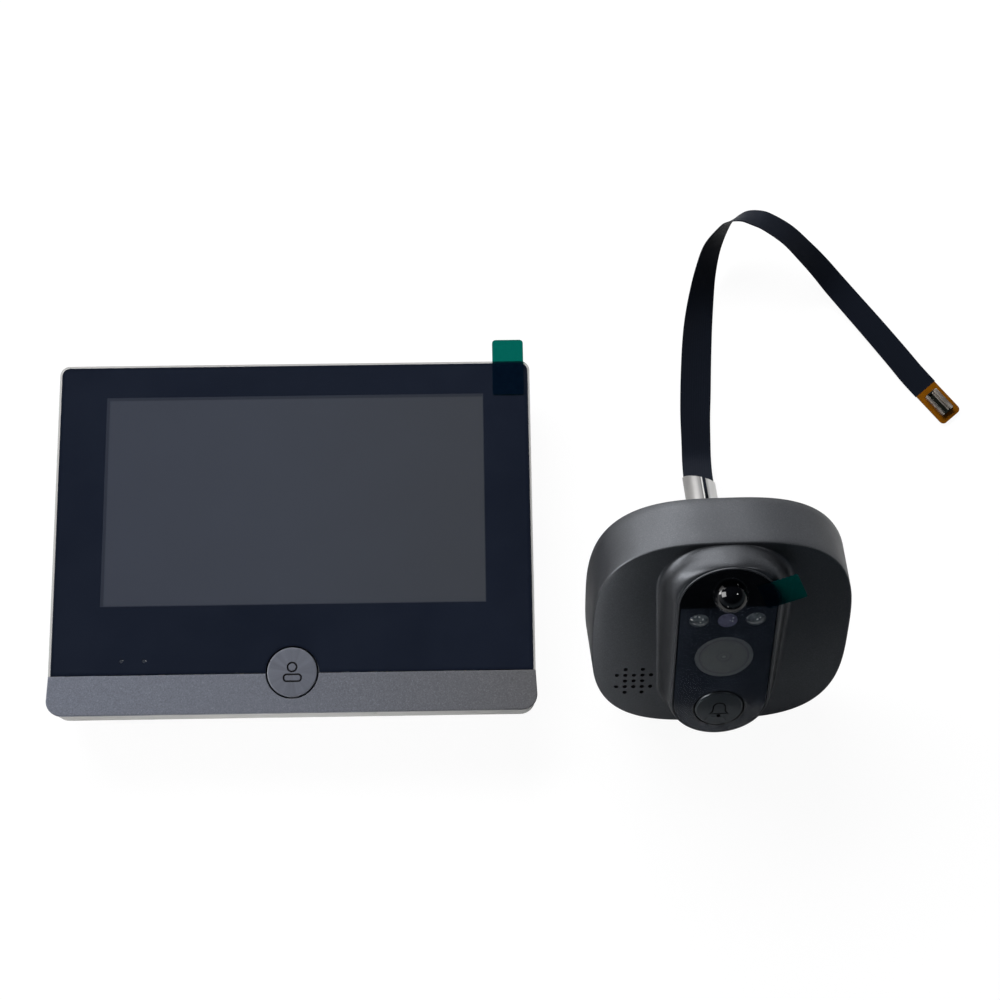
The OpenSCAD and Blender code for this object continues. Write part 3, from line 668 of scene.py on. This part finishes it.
def make_monitor_button():
    def place(x, y, z):
        return on_monitor(x, y - 34.8, z)

    profile = [(0, 13.2), (4.5, 13.2), (4.5, 14.55), (6.12, 14.55), (6.12, 16.05)]
    profile += [(5.88 + 0.24 * math.cos(math.radians(a)), 16.05 + 0.24 * math.sin(math.radians(a))) for a in (20, 40, 60, 80)]
    profile += [(5.6 - 0.4 * k, 16.29 + 0.07 * (1 - ((5.6 - 0.4 * k) / 5.6) ** 2)) for k in range(14)] + [(0, 16.36)]
    o = turned("push_button", profile, place)
    head = (arc2(0, 1.25, 1.34, 0, 345, 23), arc2(0, 1.25, 0.9, 0, 345, 23))
    body = (round_box(4.75, 2.15, 0.98, 0.1, -1.4), round_box(3.87, 1.27, 0.54, 0.1, -1.4))
    engrave(o, [head, body], 16.12, 17, place)
    return o


def make_bell_button():
    def place(x, y, z):
        return on_unit(x, y - 18.25, z)

    profile = [(0, 18), (4, 18), (4, 20), (5.88, 20), (5.88, 21.3)]
    profile += [(5.28 + 0.6 * math.cos(math.radians(a)), 21.3 + 0.6 * math.sin(math.radians(a))) for a in (12, 24, 36, 48, 60, 72, 82)]
    profile += [(5.2 - 0.4 * k, 21.9 + 0.17 * (1 - ((5.2 - 0.4 * k) / 5.28) ** 2)) for k in range(13)] + [(0, 22.07)]
    o = turned("bell_button", profile, place)
    clapper = (arc2(0, -2.2, 0.52, 0, 337.5, 15), arc2(0, -2.2, 0.04, 0, 337.5, 15))
    engrave(o, [(bell_outline(0), bell_outline(0.34)), clapper], 21.68, 23, place)
    return o


push_button, bell_button = make_monitor_button(), make_bell_button()
for piece, node, slot, body in ((push_button, "monitor_button", "chin_grey", "monitor_push_button"), (bell_button, "camera_bell_button", "black_plastic", "doorbell_button")):
    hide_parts(node)
    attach(piece, body)

# ---------------------------------------------------------------- materials
paint = grainy("unit_paint", (0.064, 0.067, 0.073), rough=0.37, grain=5000, depth=0.2, vary=0.24, flakes=0.1, Metallic=0.75, Specular_IOR_Level=0.2)
cover = grainy("cover_plastic", (0.5, 0.49, 0.47), rough=0.55, grain=1500, depth=0.4, vary=0.05)
black_plastic = grainy("black_plastic", (0.02, 0.021, 0.023), rough=0.5, grain=1800, depth=0.35, vary=0.2, Specular_IOR_Level=0.4)
white_plastic = grainy("white_plastic", (0.75, 0.74, 0.7), rough=0.45, grain=1500, depth=0.2, vary=0.04)
plug_plastic = grainy("plug_plastic", (0.006, 0.007, 0.005), rough=0.5, grain=2600, depth=0.25, vary=0.25, Specular_IOR_Level=0.08)
rubber = grainy("rubber", (0.018, 0.018, 0.018), rough=0.8, grain=1400, depth=0.6, vary=0.25, Specular_IOR_Level=0.25)
connector = grainy("connector", (0.72, 0.66, 0.5), rough=0.45, grain=1600, depth=0.2, vary=0.06)
steel = grainy("steel", (0.62, 0.62, 0.63), rough=0.3, grain=1600, depth=0.1, vary=0.08, Metallic=1.0)
screw = grainy("screw", (0.2, 0.2, 0.21), rough=0.35, grain=2200, depth=0.15, vary=0.12, Metallic=1.0)
aluminium = grainy("aluminium", (0.72, 0.73, 0.75), rough=0.36, grain=1200, depth=0.12, vary=0.05, Metallic=0.9)


def silver_look():
    """Satin silver walls; the narrow top edge round the glass gets a flat tone of its own, a touch lighter: painted
    shading that sets the directly lit top apart from the walls.
    """
    k = grainy("silver_paint", (0.37, 0.364, 0.352), rough=0.42, grain=3600, depth=0.1, vary=0.05, Specular_IOR_Level=0.3)
    tone = k.bsdf.inputs["Base Color"].links[0].from_socket
    # painted shading: above the glass's level the frame gets its own flat tone
    k.set(Base_Color=k.mix(k.span(k.along((0, 0, 1), (0, 0, 0)), 15.5 * MM, 15.72 * MM), tone, (0.4, 0.395, 0.385)))
    return k


def chin_look():
    """Metallic grey paint, bluer at one end."""
    k = Look("chin_paint", Specular_IOR_Level=0.2)
    x = k.along((1, 0, 0), MON_AT * MM)
    tint = k.ramp(k.span(x, -0.06, 0.06), (0.0, (0.113, 0.122, 0.151)), (0.5, (0.105, 0.111, 0.133)), (1.0, (0.09, 0.09, 0.096)))
    fine = k.noise(3400, 2.0, 0.6)
    spark = k.node("ShaderNodeSeparateColor", {0: k.cells(4200, out="Color")}).outputs[0]
    grain = k.math("ADD", k.span(fine, 0.3, 0.7, 0.78, 1.16), k.span(spark, 0.8, 1.0, 0.0, 0.3))
    k.set(Base_Color=k.node("ShaderNodeVectorMath", {0: tint, "Scale": grain}, operation="SCALE").outputs[0], Roughness=k.span(k.noise(60, 3), 0.3, 0.7, 0.42, 0.5), Normal=k.bump(fine, 0.16, 0.00004))
    return k


def glass_look():
    k = Look("cover_glass", Roughness=0.06, Specular_IOR_Level=0.4, IOR=1.5)
    xyz = k.node("ShaderNodeSeparateXYZ", {0: k.obj()})
    x, y = xyz.outputs[0], xyz.outputs[1]

    def rect(x0, x1, y0, y1, soft=0.12):
        mx = k.math("ABSOLUTE", k.math("SUBTRACT", x, (x0 + x1) / 2 * MM))
        my = k.math("ABSOLUTE", k.math("SUBTRACT", y, (y0 + y1) / 2 * MM))
        hx, hy = (x1 - x0) / 2 * MM, (y1 - y0) / 2 * MM
        return k.math("MULTIPLY", k.span(mx, hx, hx - soft * MM), k.span(my, hy, hy - soft * MM))

    ox, oy = MON_AT.x, MON_AT.y
    window = rect(ox - 47.7, ox + 48.0, oy - 17.93, oy + 36.15)
    inner = rect(ox - 46.9, ox + 47.8, oy - 17.7, oy + 35.35)
    edge = k.mix(k.span(k.noise(25, 2), 0.35, 0.65), (0.0052, 0.0074, 0.0142), (0.006, 0.0084, 0.016))
    across = k.span(x, (ox - 47.7) * MM, (ox + 47.7) * MM)
    lcd = k.ramp(across, (0.0, (0.0365, 0.041, 0.0545)), (0.45, (0.039, 0.0435, 0.0555)), (1.0, (0.0395, 0.0425, 0.0495)))
    haze = k.noise(40, 3)
    lcd = k.mix(k.span(haze, 0.3, 0.7, 0.0, 0.08), lcd, (0.034, 0.038, 0.047))
    band = k.mix(0.5, edge, lcd)
    tone = k.mix(window, edge, k.mix(inner, band, lcd))
    k.set(Base_Color=tone, Roughness=k.span(k.noise(140, 3), 0.3, 0.7, 0.045, 0.085))
    return k


def engraved(name, base, axis, origin, at_rim, at_middle, centre, radius, painted_sheen_streaks=0.0, **kw):
    """Grainy paint on a slightly domed face; what lies below the face near its middle, the engraved lines, is dark."""
    k = grainy(name, base, **kw)
    tone = k.bsdf.inputs["Base Color"].links[0].from_socket
    d = k.node("ShaderNodeVectorMath", {0: k.obj(), 1: tuple(centre)}, operation="SUBTRACT").outputs[0]
    # painted sheen: radial stripes of lighter and darker colour by angle round the middle stand in for the sheen of a
    # circular-brushed finish
    if painted_sheen_streaks:
        spun_sheen = k.noise(1.0, 2.0, 0.5, k.node("ShaderNodeMapping", {"Vector": k.node("ShaderNodeVectorMath", {0: d}, operation="NORMALIZE").outputs[0], "Scale": (2.6, 2.6, 0.0)}).outputs[0])
        tone = k.mix(k.span(spun_sheen, 0.3, 0.7), shifted(base, 1 - painted_sheen_streaks), k.mix(0.6, tone, shifted(base, 1 + 1.4 * painted_sheen_streaks)))
    r = k.math("DIVIDE", k.node("ShaderNodeVectorMath", {0: d}, operation="LENGTH").outputs["Value"], radius * MM)
    face = k.math("SUBTRACT", at_middle * MM, k.math("MULTIPLY", k.math("MULTIPLY", r, r), (at_middle - at_rim) * MM))
    deep = k.span(k.math("SUBTRACT", k.along(axis, origin), face), -0.05 * MM, -0.09 * MM)
    near = k.span(r, 0.86, 0.84)
    k.set(Base_Color=k.mix(k.math("MULTIPLY", deep, near), tone, (0.004, 0.004, 0.006)))
    return k


def film_look(name, alpha, tint):
    k = Look(name, Base_Color=tint, Specular_IOR_Level=0.5)
    smear = k.noise(70, 4, 0.6)
    k.set(Roughness=k.span(smear, 0.3, 0.7, 0.08, 0.2), Alpha=k.span(smear, 0.35, 0.65, alpha * 0.7, alpha * 1.3))
    return k


def tab_look(name, tint, glow, share):
    """Coloured film: what lies behind shows through tinted, and light from behind glows through it."""
    k = Look(name, Roughness=0.25, Specular_IOR_Level=0.3)
    fleck = k.noise(900, 3, 0.6)
    k.set(Base_Color=k.mix(k.span(fleck, 0.3, 0.7), (0.008, 0.03, 0.09), (0.012, 0.045, 0.12)), Normal=k.bump(fleck, 0.1, 0.00004))
    clear = k.node("ShaderNodeBsdfTransparent", {"Color": (*tint, 1)})
    back = k.node("ShaderNodeBsdfTranslucent", {"Color": (*glow, 1)})
    through = k.node("ShaderNodeMixShader", {0: share, 1: clear.outputs[0], 2: back.outputs[0]})
    both = k.node("ShaderNodeMixShader", {0: 0.09, 1: through.outputs[0], 2: k.bsdf.outputs[0]})
    k.t.links.new(both.outputs[0], k.out.inputs["Surface"])
    return k


def tube_look():
    """Plated tube with faint draw lines; its shading is painted into the colour: a darker middle left of the slit, a
    dark band beside the slit near the top, a lighter line on the slit's left edge that is partly the sawn edge and
    partly a painted highlight, and a much lighter half right of the slit that is partly a brighter finish and partly a
    painted highlight.
    """
    k = Look("tube_steel", Metallic=1.0, Specular_IOR_Level=0.5)
    fine = k.noise(5200, 2, 0.5)
    broad = k.noise(120, 2)
    across = k.along(AX_P * math.cos(math.radians(10)) - AX_U * math.sin(math.radians(10)), tube_axis(0) * MM)
    top = k.span(k.along(AX_P * math.sin(math.radians(10)) + AX_U * math.cos(math.radians(10)), tube_axis(0) * MM), 2.0 * MM, 2.4 * MM)
    left = k.math("MULTIPLY", k.span(across, -0.8 * MM, -0.72 * MM), k.span(across, -0.4 * MM, -0.42 * MM))
    dark = k.math("MULTIPLY", k.span(across, -1.3 * MM, -0.9 * MM), k.span(across, -0.8 * MM, -0.82 * MM))
    tone = k.mix(k.span(broad, 0.3, 0.7), (0.345, 0.34, 0.336), (0.39, 0.382, 0.376))
    # painted shade: the middle, left of the slit, is darkened against the highlight that falls there
    tone = k.mix(k.span(across, -2.7 * MM, -1.5 * MM), tone, (0.125, 0.123, 0.122))
    # much lighter half right of the slit: partly a brighter finish, partly a painted highlight of the side facing the
    # lights
    tone = k.mix(k.span(across, -0.2 * MM, 1.2 * MM), tone, (0.8, 0.795, 0.785))
    # painted shade: a dark band beside the slit near the top
    tone = k.mix(k.math("MULTIPLY", dark, top), tone, (0.085, 0.084, 0.083))
    # lighter line on the slit's left edge: partly the sawn edge's bare metal, partly a painted highlight
    tone = k.mix(k.math("MULTIPLY", left, top), tone, (0.4, 0.4, 0.395))
    k.set(Base_Color=tone, Roughness=k.span(broad, 0.3, 0.7, 0.32, 0.38), Normal=k.bump(fine, 0.05, 0.00002))
    return k


def gloss_black(name, colour, rough, shine):
    k = Look(name, Specular_IOR_Level=shine)
    broad = k.noise(90, 3)
    k.set(Base_Color=k.mix(k.span(broad, 0.3, 0.7), shifted(colour, 0.8), shifted(colour, 1.2)), Roughness=k.span(k.noise(260, 3), 0.3, 0.7, rough * 0.8, rough * 1.3))
    return k


def led_look():
    """Clear resin over a pale die, with a few painted glints."""
    k = Look("led_resin", Roughness=0.1, Specular_IOR_Level=0.6, Coat_Weight=0.4, Coat_Roughness=0.04)
    lump = k.noise(900, 2, 0.5)
    glint = k.span(k.cells(1150), 0.36, 0.26)
    near = None
    tone = k.mix(k.span(lump, 0.35, 0.65), (0.085, 0.095, 0.09), (0.17, 0.185, 0.175))
    for d in (-1, 1):
        r = k.away(on_unit(6.6 * d, 12.2, 21.4))
        tone = k.mix(k.math("MULTIPLY", k.span(r, 1.85 * MM, 2.05 * MM), k.span(r, 2.5 * MM, 2.45 * MM)), tone, (0.13, 0.138, 0.134))
        spot = k.span(k.away(on_unit(6.6 * d - 0.2, 12.75, 21.4)), 1.35 * MM, 1.1 * MM)
        near = spot if near is None else k.math("MAXIMUM", near, spot)
    # painted glints: bright spots in the colour just above the middle of each LED
    k.set(Base_Color=k.mix(k.math("MULTIPLY", glint, near), tone, (0.9, 0.9, 0.87)), Normal=k.bump(k.cells(1100), 0.3, 0.0001))
    return k


def sensor_look():
    k = Look("light_sensor", Specular_IOR_Level=0.5, Roughness=0.18)
    tone = k.mix(k.span(k.noise(600, 2), 0.3, 0.7), (0.125, 0.118, 0.185), (0.185, 0.176, 0.26))
    # painted glints: bright spots in the colour near one point of the sensor
    painted_glint_spots = k.math("MULTIPLY", k.span(k.cells(1500), 0.36, 0.26), k.span(k.away(on_unit(1.35, 12.4, 21.4)), 0.95 * MM, 0.75 * MM))
    k.set(Base_Color=k.mix(painted_glint_spots, tone, (0.8, 0.8, 0.83)), Normal=k.bump(k.noise(700, 2), 0.2, 0.0001))
    return k


def window_look():
    """Hazy window: the lens barrel's rings show faintly through it."""
    k = Look("lens_window", Roughness=0.4, Specular_IOR_Level=0.1)
    c = on_unit(0, -0.2, 21.35)
    r = k.away(c)
    dust = k.noise(700, 3, 0.6)
    tone = k.ramp(
        k.span(r, 0, 7 * MM),
        (0.0, (0.3, 0.3, 0.28)), (0.05, (0.27, 0.27, 0.25)), (0.09, (0.13, 0.13, 0.125)), (0.14, (0.2, 0.2, 0.185)), (0.22, (0.16, 0.16, 0.15)),
        (0.3, (0.185, 0.185, 0.17)), (0.7, (0.18, 0.182, 0.168)), (0.79, (0.165, 0.167, 0.155)), (0.825, (0.11, 0.112, 0.108)), (0.86, (0.175, 0.178, 0.17)), (1.0, (0.185, 0.187, 0.185)),
    )
    tone = k.mix(k.span(dust, 0.3, 0.7, 0.0, 0.3), tone, (0.22, 0.22, 0.205))
    k.set(Base_Color=tone, Normal=k.bump(dust, 0.1, 0.00003))
    clear = k.node("ShaderNodeBsdfTransparent")
    both = k.node("ShaderNodeMixShader", {0: 0.15, 1: k.bsdf.outputs[0], 2: clear.outputs[0]})
    k.t.links.new(both.outputs[0], k.out.inputs["Surface"])
    return k


def lens_look():
    k = Look("lens_glass", Roughness=0.03, Specular_IOR_Level=0.8, Coat_Weight=1.0, Coat_Roughness=0.02)
    k.set(Base_Color=k.ramp(k.span(k.away(on_unit(0, -0.2, 19.4)), 0, 2.2 * MM), (0.0, (0.16, 0.15, 0.14)), (0.28, (0.1, 0.1, 0.11)), (0.34, (0.01, 0.01, 0.012)), (1.0, (0.012, 0.014, 0.02))))
    return k


def pipe_look():
    k = Look("light_pipe", Roughness=0.3, Specular_IOR_Level=0.5)
    k.set(Base_Color=k.mix(k.span(k.noise(1500, 2), 0.3, 0.7), (0.014, 0.017, 0.024), (0.02, 0.024, 0.032)))
    return k


def board_look():
    k = Look("circuit_board", Roughness=0.35, Specular_IOR_Level=0.5)
    cells = k.node("ShaderNodeTexBrick", {"Vector": k.obj(), "Scale": 260.0, "Color1": (0.012, 0.1, 0.06, 1), "Color2": (0.01, 0.085, 0.05, 1), "Mortar": (0.03, 0.16, 0.1, 1), "Mortar Size": 0.03})
    tone = k.mix(k.span(k.noise(500, 2), 0.58, 0.66), cells.outputs["Color"], (0.35, 0.3, 0.16))
    k.set(Base_Color=tone, Normal=k.bump(k.noise(800, 2), 0.2, 0.00005))
    return k


def display_look():
    k = Look("display_cell", Roughness=0.25, Specular_IOR_Level=0.5)
    k.set(Base_Color=k.mix(k.span(k.noise(60, 3), 0.3, 0.7), (0.042, 0.047, 0.055), (0.05, 0.055, 0.06)))
    return k


def ribbon_look():
    k = Look("flex_ribbon", Specular_IOR_Level=0.045)
    uv = k.node("ShaderNodeUVMap", uv_map="lay").outputs[0]
    x = k.node("ShaderNodeSeparateXYZ", {0: uv}).outputs[0]
    lines = k.math("SINE", k.math("MULTIPLY", x, 2 * math.pi * 13))
    fine = k.noise(2200, 2, 0.6)
    broad = k.noise(60, 3)
    tone = k.mix(k.span(lines, -0.6, 0.6), (0.005, 0.0066, 0.0108), (0.0062, 0.008, 0.013))
    tone = k.mix(k.span(broad, 0.35, 0.65, 0.0, 0.4), tone, (0.0046, 0.006, 0.01))
    k.set(Base_Color=tone, Roughness=k.span(broad, 0.3, 0.7, 0.42, 0.5), Normal=k.bump(lines, 0.12, 0.00003, k.bump(fine, 0.15, 0.00003)))
    return k


def amber_look():
    k = Look("amber_film", Roughness=0.32, Specular_IOR_Level=0.06)
    m = end_matrix()
    d = (m.to_3x3() @ Vector((0, 1, 0))).normalized()
    y = k.along(d, m.translation * MM)
    lines = k.math("SINE", k.math("MULTIPLY", y, 2 * math.pi / (0.42 * MM)))
    blotch = k.noise(900, 3, 0.6)
    tone = k.mix(k.span(lines, 0.2, 0.9, 0.0, 0.6), (0.15, 0.05, 0.001), (0.21, 0.074, 0.002))
    tone = k.mix(k.span(blotch, 0.4, 0.7, 0.0, 0.5), tone, (0.11, 0.034, 0.001))
    k.set(Base_Color=tone, Normal=k.bump(lines, 0.25, 0.00004))
    return k


def plated_look():
    k = Look("plated_shell", Metallic=1.0, Specular_IOR_Level=0.5)
    fine = k.noise(1800, 2)
    k.set(Base_Color=k.mix(k.span(fine, 0.3, 0.7), (0.36, 0.325, 0.285), (0.46, 0.42, 0.375)), Roughness=k.span(fine, 0.3, 0.7, 0.38, 0.48), Normal=k.bump(fine, 0.15, 0.00004))
    return k


glass = glass_look()
button_paint = engraved("button_paint", (0.092, 0.098, 0.119), (0, 0, 1), (0, 0, 0), 16.29, 16.36, on_monitor(0, -34.8, 16.33), 5.6, painted_sheen_streaks=0.14, rough=0.4, grain=4600, depth=0.16, vary=0.16, flakes=0.15, Specular_IOR_Level=0.3)
bell_paint = engraved("bell_paint", (0.06, 0.067, 0.073), AX_N, CAM_AT * MM, 21.9, 22.07, on_unit(0, -18.25, 21.98), 5.28, rough=0.27, grain=4200, depth=0.14, vary=0.12, Metallic=0.6, Specular_IOR_Level=0.3)
gloss = gloss_black("panel_gloss", (0.003, 0.0035, 0.005), 0.1, 0.4)
dome = gloss_black("dome_gloss", (0.0015, 0.0016, 0.0024), 0.05, 0.36)
dome.set(Sheen_Weight=0.4, Sheen_Roughness=0.22, Sheen_Tint=(0.85, 0.86, 0.9))
shroud = grainy("shroud_plastic", (0.05, 0.05, 0.052), rough=0.4, grain=1800, depth=0.2, vary=0.15)
monitor_clear = film_look("screen_film", 0.004, (0.3, 0.36, 0.5))
panel_clear = film_look("panel_film", 0.04, (0.4, 0.48, 0.65))
tab_bright = tab_look("green_tab", (0.0, 0.375, 0.315), (0.0, 0.2, 0.17), 0.06)
tab_dark = tab_look("dark_green_tab", (0.0, 0.4, 0.36), (0.0, 0.15, 0.14), 0.35)
tube = tube_look()
board = board_look()

LOOKS = {
    "monitor_rear_cover": cover, "monitor_frame": silver_look(),
    "monitor_button_guide": black_plastic, "monitor_button_switch": steel, "monitor_button_plunger": white_plastic,
    "monitor_display": display_look(), "monitor_backlight": aluminium, "monitor_main_board": board, "monitor_battery": aluminium,
    "monitor_speaker": black_plastic, "monitor_microphone": steel, "monitor_status_leds": white_plastic, "monitor_light_pipes": pipe_look(),
    "monitor_charge_socket": steel, "monitor_ribbon_socket": connector, "monitor_rear_screws": screw,
    "monitor_film": monitor_clear, "monitor_film_tab": tab_bright,
    "camera_panel": gloss, "camera_sensor_dome": dome, "camera_motion_sensor": steel, "camera_ir_leds": led_look(), "camera_light_sensor": sensor_look(),
    "camera_lens_window": window_look(), "camera_lens_shroud": shroud, "camera_lens_element": lens_look(), "camera_lens_barrel": black_plastic,
    "camera_lens_holder": black_plastic, "camera_image_board": board, "camera_front_board": board, "camera_main_board": board, "camera_board_connector": connector,
    "camera_bell_guide": black_plastic, "camera_bell_switch": steel, "camera_bell_plunger": white_plastic,
    "camera_speaker": black_plastic, "camera_rear_plate": black_plastic, "camera_seal": rubber, "camera_rear_screws": screw, "camera_mount_pad": rubber,
    "camera_tube": tube, "camera_film": panel_clear, "camera_film_tab": tab_dark, "ribbon_end": amber_look(),
}
for name, look in LOOKS.items():
    for s in NODE[name].material_slots:
        s.material = look.m
for o, look in ((housing, paint), (glass_plate, glass), (chin_strip, chin_look()), (push_button, button_paint), (bell_button, bell_paint), (ribbon, ribbon_look()), (plug_body, plug_plastic), (plug_shell, plated_look())):
    o.data.materials.clear()
    o.data.materials.append(look.m)


# ---------------------------------------------------------------- stage
def make_plane(name, x0, x1, y0, y1, z, look):
    me = bpy.data.meshes.new(name)
    me.from_pydata([(x0, y0, z), (x1, y0, z), (x1, y1, z), (x0, y1, z)], [], [(0, 1, 2, 3)])
    o = bpy.data.objects.new(name, me)
    scene.collection.objects.link(o)
    me.materials.append(look.m)
    return o


def make_floor():
    """A white sweep as the background, and a matt table top under the object that gives it the light from below."""
    sweep = make_plane("floor", -3, 3, -3, 3, -0.0002, Look("floor", Base_Color=(0.07, 0.07, 0.07), Roughness=0.9, Specular_IOR_Level=0.0, Emission_Color=(1, 1, 1), Emission_Strength=0.945))
    sweep.visible_diffuse = sweep.visible_glossy = sweep.visible_transmission = sweep.visible_shadow = False
    table = make_plane("table", -0.8, 0.8, -0.13, 1.2, -0.0003, Look("table", Base_Color=(0.6, 0.597, 0.59), Roughness=0.9, Specular_IOR_Level=0.0))
    table.visible_camera = False


def area(name, at, to, sx, sy, watts, spread=180):
    data = bpy.data.lights.new(name, "AREA")
    data.shape = "RECTANGLE"
    data.size, data.size_y = sx, sy
    data.energy = watts
    data.spread = math.radians(spread)
    o = bpy.data.objects.new(name, data)
    scene.collection.objects.link(o)
    o.location = at
    o.rotation_euler = (Vector(to) - Vector(at)).to_track_quat("-Z", "Y").to_euler()
    o.visible_camera = False
    return o


make_floor()
area("key", (-0.4, 0.96, 0.79), (0.02, 0.02, 0), 1.2, 0.5, 29).visible_glossy = False
area("back", (-0.36, 0.95, 0.44), (0.03, 0.0, 0.02), 1.25, 0.7, 11).visible_diffuse = False
area("window", (-0.86, 0.19, 0.2), (0.06, 0.0, 0.05), 0.34, 0.3, 4.6)
area("lamp", (0.616, -0.076, 0.855), (0.06, -0.02, 0.04), 0.09, 0.09, 0.8)
area("softbox", (-0.66, -0.05, 0.56), (0.066, -0.02, 0.04), 0.46, 0.46, 7.5).visible_diffuse = False
area("fill", (-0.042, -0.22, 0.03), (-0.042, 0, 0.004), 0.11, 0.02, 0.033, spread=50)


def make_world():
    """A dim room whose walls are pale near the table's level, paler at the back; seen directly it is white like the sweep."""
    world = bpy.data.worlds.new("room")
    scene.world = world
    world.use_nodes = True
    n, links = world.node_tree.nodes, world.node_tree.links
    split = n.new("ShaderNodeSeparateXYZ")
    links.new(n.new("ShaderNodeTexCoord").outputs["Generated"], split.inputs[0])

    turned_y = n.new("ShaderNodeMath")
    turned_y.operation = "MULTIPLY_ADD"
    links.new(split.outputs[0], turned_y.inputs[0])
    turned_y.inputs[1].default_value = -0.35
    links.new(split.outputs[1], turned_y.inputs[2])

    def ramp(socket, lo, hi, *stops):
        to = n.new("ShaderNodeMapRange")
        to.inputs["From Min"].default_value, to.inputs["From Max"].default_value = lo, hi
        links.new(socket, to.inputs["Value"])
        r = n.new("ShaderNodeValToRGB")
        r.color_ramp.interpolation = "EASE"
        el = r.color_ramp.elements
        while len(el) < len(stops):
            el.new(0.5)
        for e, (at, c) in zip(el, stops):
            e.position, e.color = at, (*c, 1)
        links.new(to.outputs["Result"], r.inputs[0])
        return r.outputs[0]

    height = ramp(split.outputs[2], -1, 1, (0.4, (0.03, 0.033, 0.04)), (0.46, (0.85, 0.86, 0.88)), (0.55, (0.85, 0.86, 0.88)), (0.75, (0.04, 0.046, 0.06)))
    side = ramp(turned_y.outputs[0], -1.05, 1.05, (0.2, (0.21, 0.25, 0.28)), (0.8, (1, 1, 1)))
    both = n.new("ShaderNodeMix")
    both.data_type, both.blend_type = "RGBA", "MULTIPLY"
    both.inputs[0].default_value = 1
    links.new(height, both.inputs[6])
    links.new(side, both.inputs[7])
    seen = n.new("ShaderNodeMix")
    seen.data_type = "RGBA"
    links.new(n.new("ShaderNodeLightPath").outputs["Is Camera Ray"], seen.inputs[0])
    links.new(both.outputs[2], seen.inputs[6])
    seen.inputs[7].default_value = (1, 1, 1, 1)
    links.new(seen.outputs[2], n["Background"].inputs["Color"])


make_world()
scene.view_settings.view_transform = "Standard"
scene.view_settings.look = "None"
